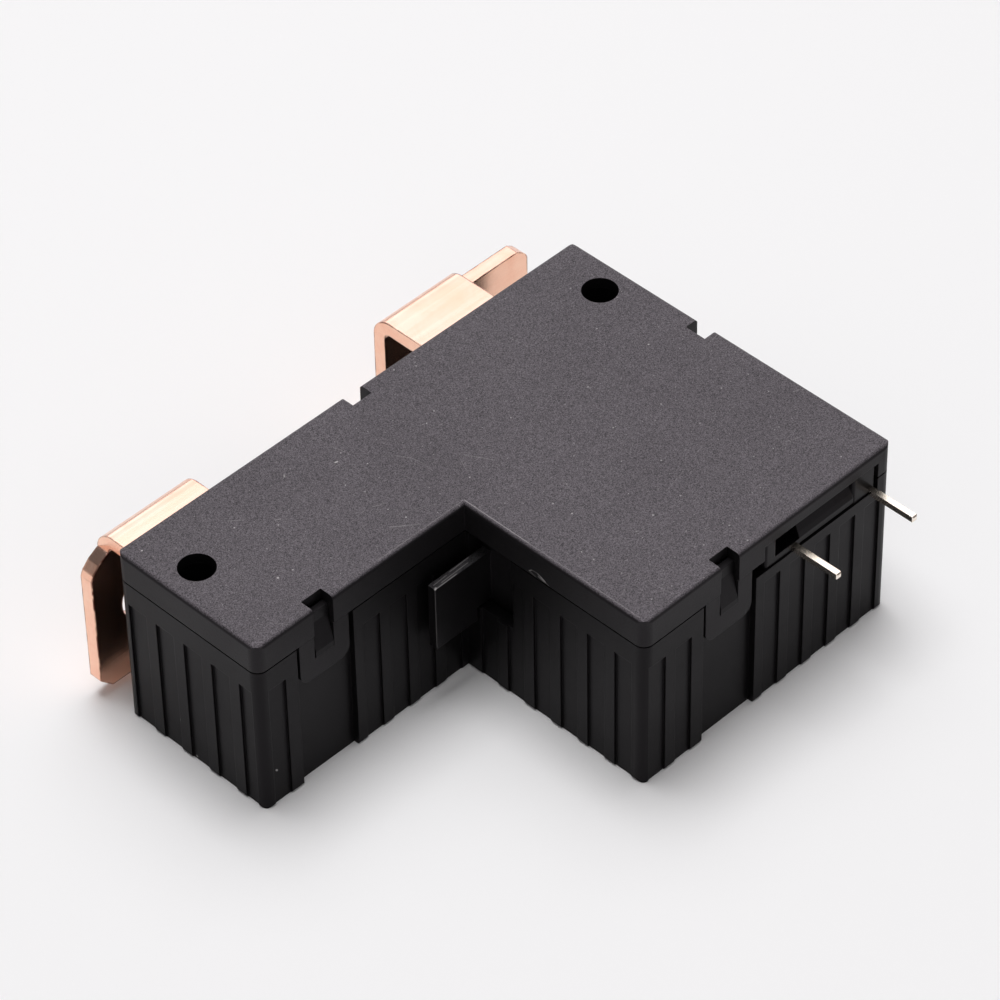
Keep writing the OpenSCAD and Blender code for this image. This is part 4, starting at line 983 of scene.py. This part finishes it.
@dataclass(frozen=True)
class SoftBox:
    """A flat studio lamp that faces the relay.

    Attributes:
        heading: where it stands, in degrees from the +X axis towards +Y.
        elevation: how high it stands, in degrees.
        distance: how far away it is, in metres.
        width: its width in metres.
        height: its height in metres.
        radiance: how bright its surface is, where 1 is a fully lit white surface.
        card: whether it only shows in glossy surfaces and lights nothing.
    """

    heading: float
    elevation: float
    distance: float
    width: float
    height: float
    radiance: float
    card: bool = False

    def build(self, name: str, centre: Vector) -> bpy.types.Object:
        """Makes the lamp.

        Args:
            name: its name.
            centre: the point that it faces.

        Returns:
            The lamp.
        """
        lamp = bpy.data.lights.new(name, "AREA")
        lamp.shape = "RECTANGLE"
        lamp.size, lamp.size_y = self.width, self.height
        lamp.energy = self.radiance * math.pi * self.width * self.height
        piece = bpy.data.objects.new(name, lamp)
        piece.visible_diffuse = not self.card
        bpy.context.scene.collection.objects.link(piece)
        heading, elevation = math.radians(self.heading), math.radians(self.elevation)
        level = math.cos(elevation)
        direction = Vector((math.cos(heading) * level, math.sin(heading) * level,
                            math.sin(elevation)))
        piece.location = centre + self.distance * direction
        piece.rotation_euler = direction.to_track_quat("Z", "Y").to_euler()
        return piece


@dataclass
class Studio:
    """The pale floor, the lamps and the world.

    Attributes:
        floor_span: the floor's length and width in metres.
        floor_colour: its colour.
        floor_roughness: its roughness.
        world_colour: the colour of the world.
        fill: how bright the world is for diffuse light.
        pale: how bright the world is for the camera, gloss and glass, near the horizon.
        pale_height: how high that brightness reaches, as a share of the way overhead.
        ceiling: how bright it is there, overhead.
        ceiling_height: how low that brightness reaches.
        lamps: the lamps by name.
    """

    floor_span: float = 6.0
    floor_colour: Colour = (0.91, 0.905, 0.915)
    floor_roughness: float = 0.9
    world_colour: Colour = (1.0, 0.965, 0.96)
    fill: float = 0.2
    pale: float = 0.6
    pale_height: float = 0.2
    ceiling: float = 0.12
    ceiling_height: float = 0.5
    lamps: dict[str, SoftBox] = field(default_factory=lambda: {
        "lamp_overhead": SoftBox(90.0, 80.0, 0.8, 0.4, 0.4, 5.0),
        "lamp_middle": SoftBox(45.0, 89.0, 0.8, 0.4, 0.4, 1.9),
        "lamp_behind": SoftBox(45.0, 70.0, 0.7, 0.5, 0.5, 2.0),
        "lamp_front": SoftBox(235.0, 50.0, 0.6, 0.4, 0.4, 0.7),
        "lamp_card": SoftBox(45.0, 36.0, 0.6, 0.6, 0.6, 1.24, card=True)})

    def build(self) -> None:
        """Makes the floor, the lamps and the world, and sets the plain view."""
        low, high = (Vector(corner) for corner in CAD_BOX)
        centre = (low + high) / 2
        self._floor(Vector((centre.x, centre.y, low.z)))
        for name, lamp in self.lamps.items():
            lamp.build(name, centre)
        self._world()
        bpy.context.scene.view_settings.view_transform = "Standard"

    def _floor(self, middle: Vector) -> None:
        """Makes the floor.

        Args:
            middle: the floor's middle, under the relay.
        """
        half = self.floor_span / 2
        mesh = bpy.data.meshes.new("floor")
        corners = [(middle.x + x * half, middle.y + y * half, middle.z)
                   for x, y in ((-1, -1), (1, -1), (1, 1), (-1, 1))]
        mesh.from_pydata(corners, [], [(0, 1, 2, 3)])
        floor = bpy.data.objects.new("floor", mesh)
        bpy.context.scene.collection.objects.link(floor)
        material, _, shader = new_material("floor_white")
        shader.inputs["Base Color"].default_value = (*self.floor_colour, 1.0)
        shader.inputs["Roughness"].default_value = self.floor_roughness
        shader.inputs["Specular IOR Level"].default_value = 0.0
        mesh.materials.append(material)

    def _world(self) -> None:
        """Makes a world that fills shadows evenly, and shows a pale horizon under a dim ceiling."""
        world = bpy.data.worlds.new("studio")
        world.use_nodes = True
        bpy.context.scene.world = world
        wiring = Wiring(world.node_tree)
        rays = wiring.add("LightPath").outputs
        seen = wiring.calc("MAXIMUM", rays["Is Camera Ray"], rays["Is Glossy Ray"])
        seen = wiring.calc("MAXIMUM", seen, rays["Is Transmission Ray"])
        direction = wiring.add("TexCoord").outputs["Generated"]
        height = wiring.add("SeparateXYZ", {"Vector": direction}).outputs["Z"]
        view = wiring.span(height, self.pale_height, self.ceiling_height, self.pale, self.ceiling)
        gain = wiring.calc("SUBTRACT", view, self.fill)
        level = wiring.calc("MULTIPLY_ADD", seen, gain, self.fill)
        background = wiring.add("Background", {"Color": self.world_colour, "Strength": level})
        output = wiring.add("OutputWorld")
        wiring.feed(output.inputs["Surface"], background.outputs[0])


@dataclass
class PhotoCamera:
    """The camera at the photograph's place.

    Attributes:
        azimuth: the heading of its view in degrees, 0 along +Y and 90 along -X.
        elevation: how far it stands above the floor's plane, in degrees.
        roll: its turn about the line of sight in degrees.
        distance: its distance from the aim in metres.
        focal: its focal length in millimetres.
        sensor: its sensor's width in millimetres.
        near: where its sight begins, in metres.
        far: where its sight ends, in metres.
        aim: the point on the line of sight, in metres from the case's lowest corner.
    """

    azimuth: float = -44.577
    elevation: float = 43.401
    roll: float = -1.176
    distance: float = 0.462
    focal: float = 182.43
    sensor: float = 36.0
    near: float = 0.01
    far: float = 20.0
    aim: Point = (0.02696, 0.0187, 0.02384)

    def build(self) -> None:
        """Makes the camera and sets it as the scene's."""
        angles = (self.azimuth, self.elevation, self.roll)
        azimuth, elevation, roll = (math.radians(angle) for angle in angles)
        level = math.cos(elevation)
        back = Vector((math.sin(azimuth) * level, -math.cos(azimuth) * level, math.sin(elevation)))
        right = Vector((math.cos(azimuth), math.sin(azimuth), 0.0))
        up = back.cross(right)
        across = right * math.cos(roll) + up * math.sin(roll)
        above = up * math.cos(roll) - right * math.sin(roll)
        place = Vector(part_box("case")[0]) + Vector(self.aim) + self.distance * back
        lens = bpy.data.cameras.new("camera")
        lens.lens, lens.sensor_width = self.focal, self.sensor
        lens.clip_start, lens.clip_end = self.near, self.far
        camera = bpy.data.objects.new("camera", lens)
        bpy.context.scene.collection.objects.link(camera)
        turn = Matrix((across, above, back)).transposed()
        camera.matrix_world = Matrix.Translation(place) @ turn.to_4x4()
        bpy.context.scene.camera = camera
        LOG.info("camera at %s", tuple(round(part, 4) for part in place))


def main() -> None:
    """Dresses the relay and sets up the studio."""
    logging.basicConfig(level=logging.INFO, format="%(message)s")
    shelf = FinishShelf()
    for assembly in (Housing(), Terminals(), Drive(), CoilUnit()):
        assembly.dress(shelf)
    Studio().build()
    PhotoCamera().build()


if __name__ == "__main__":
    main()
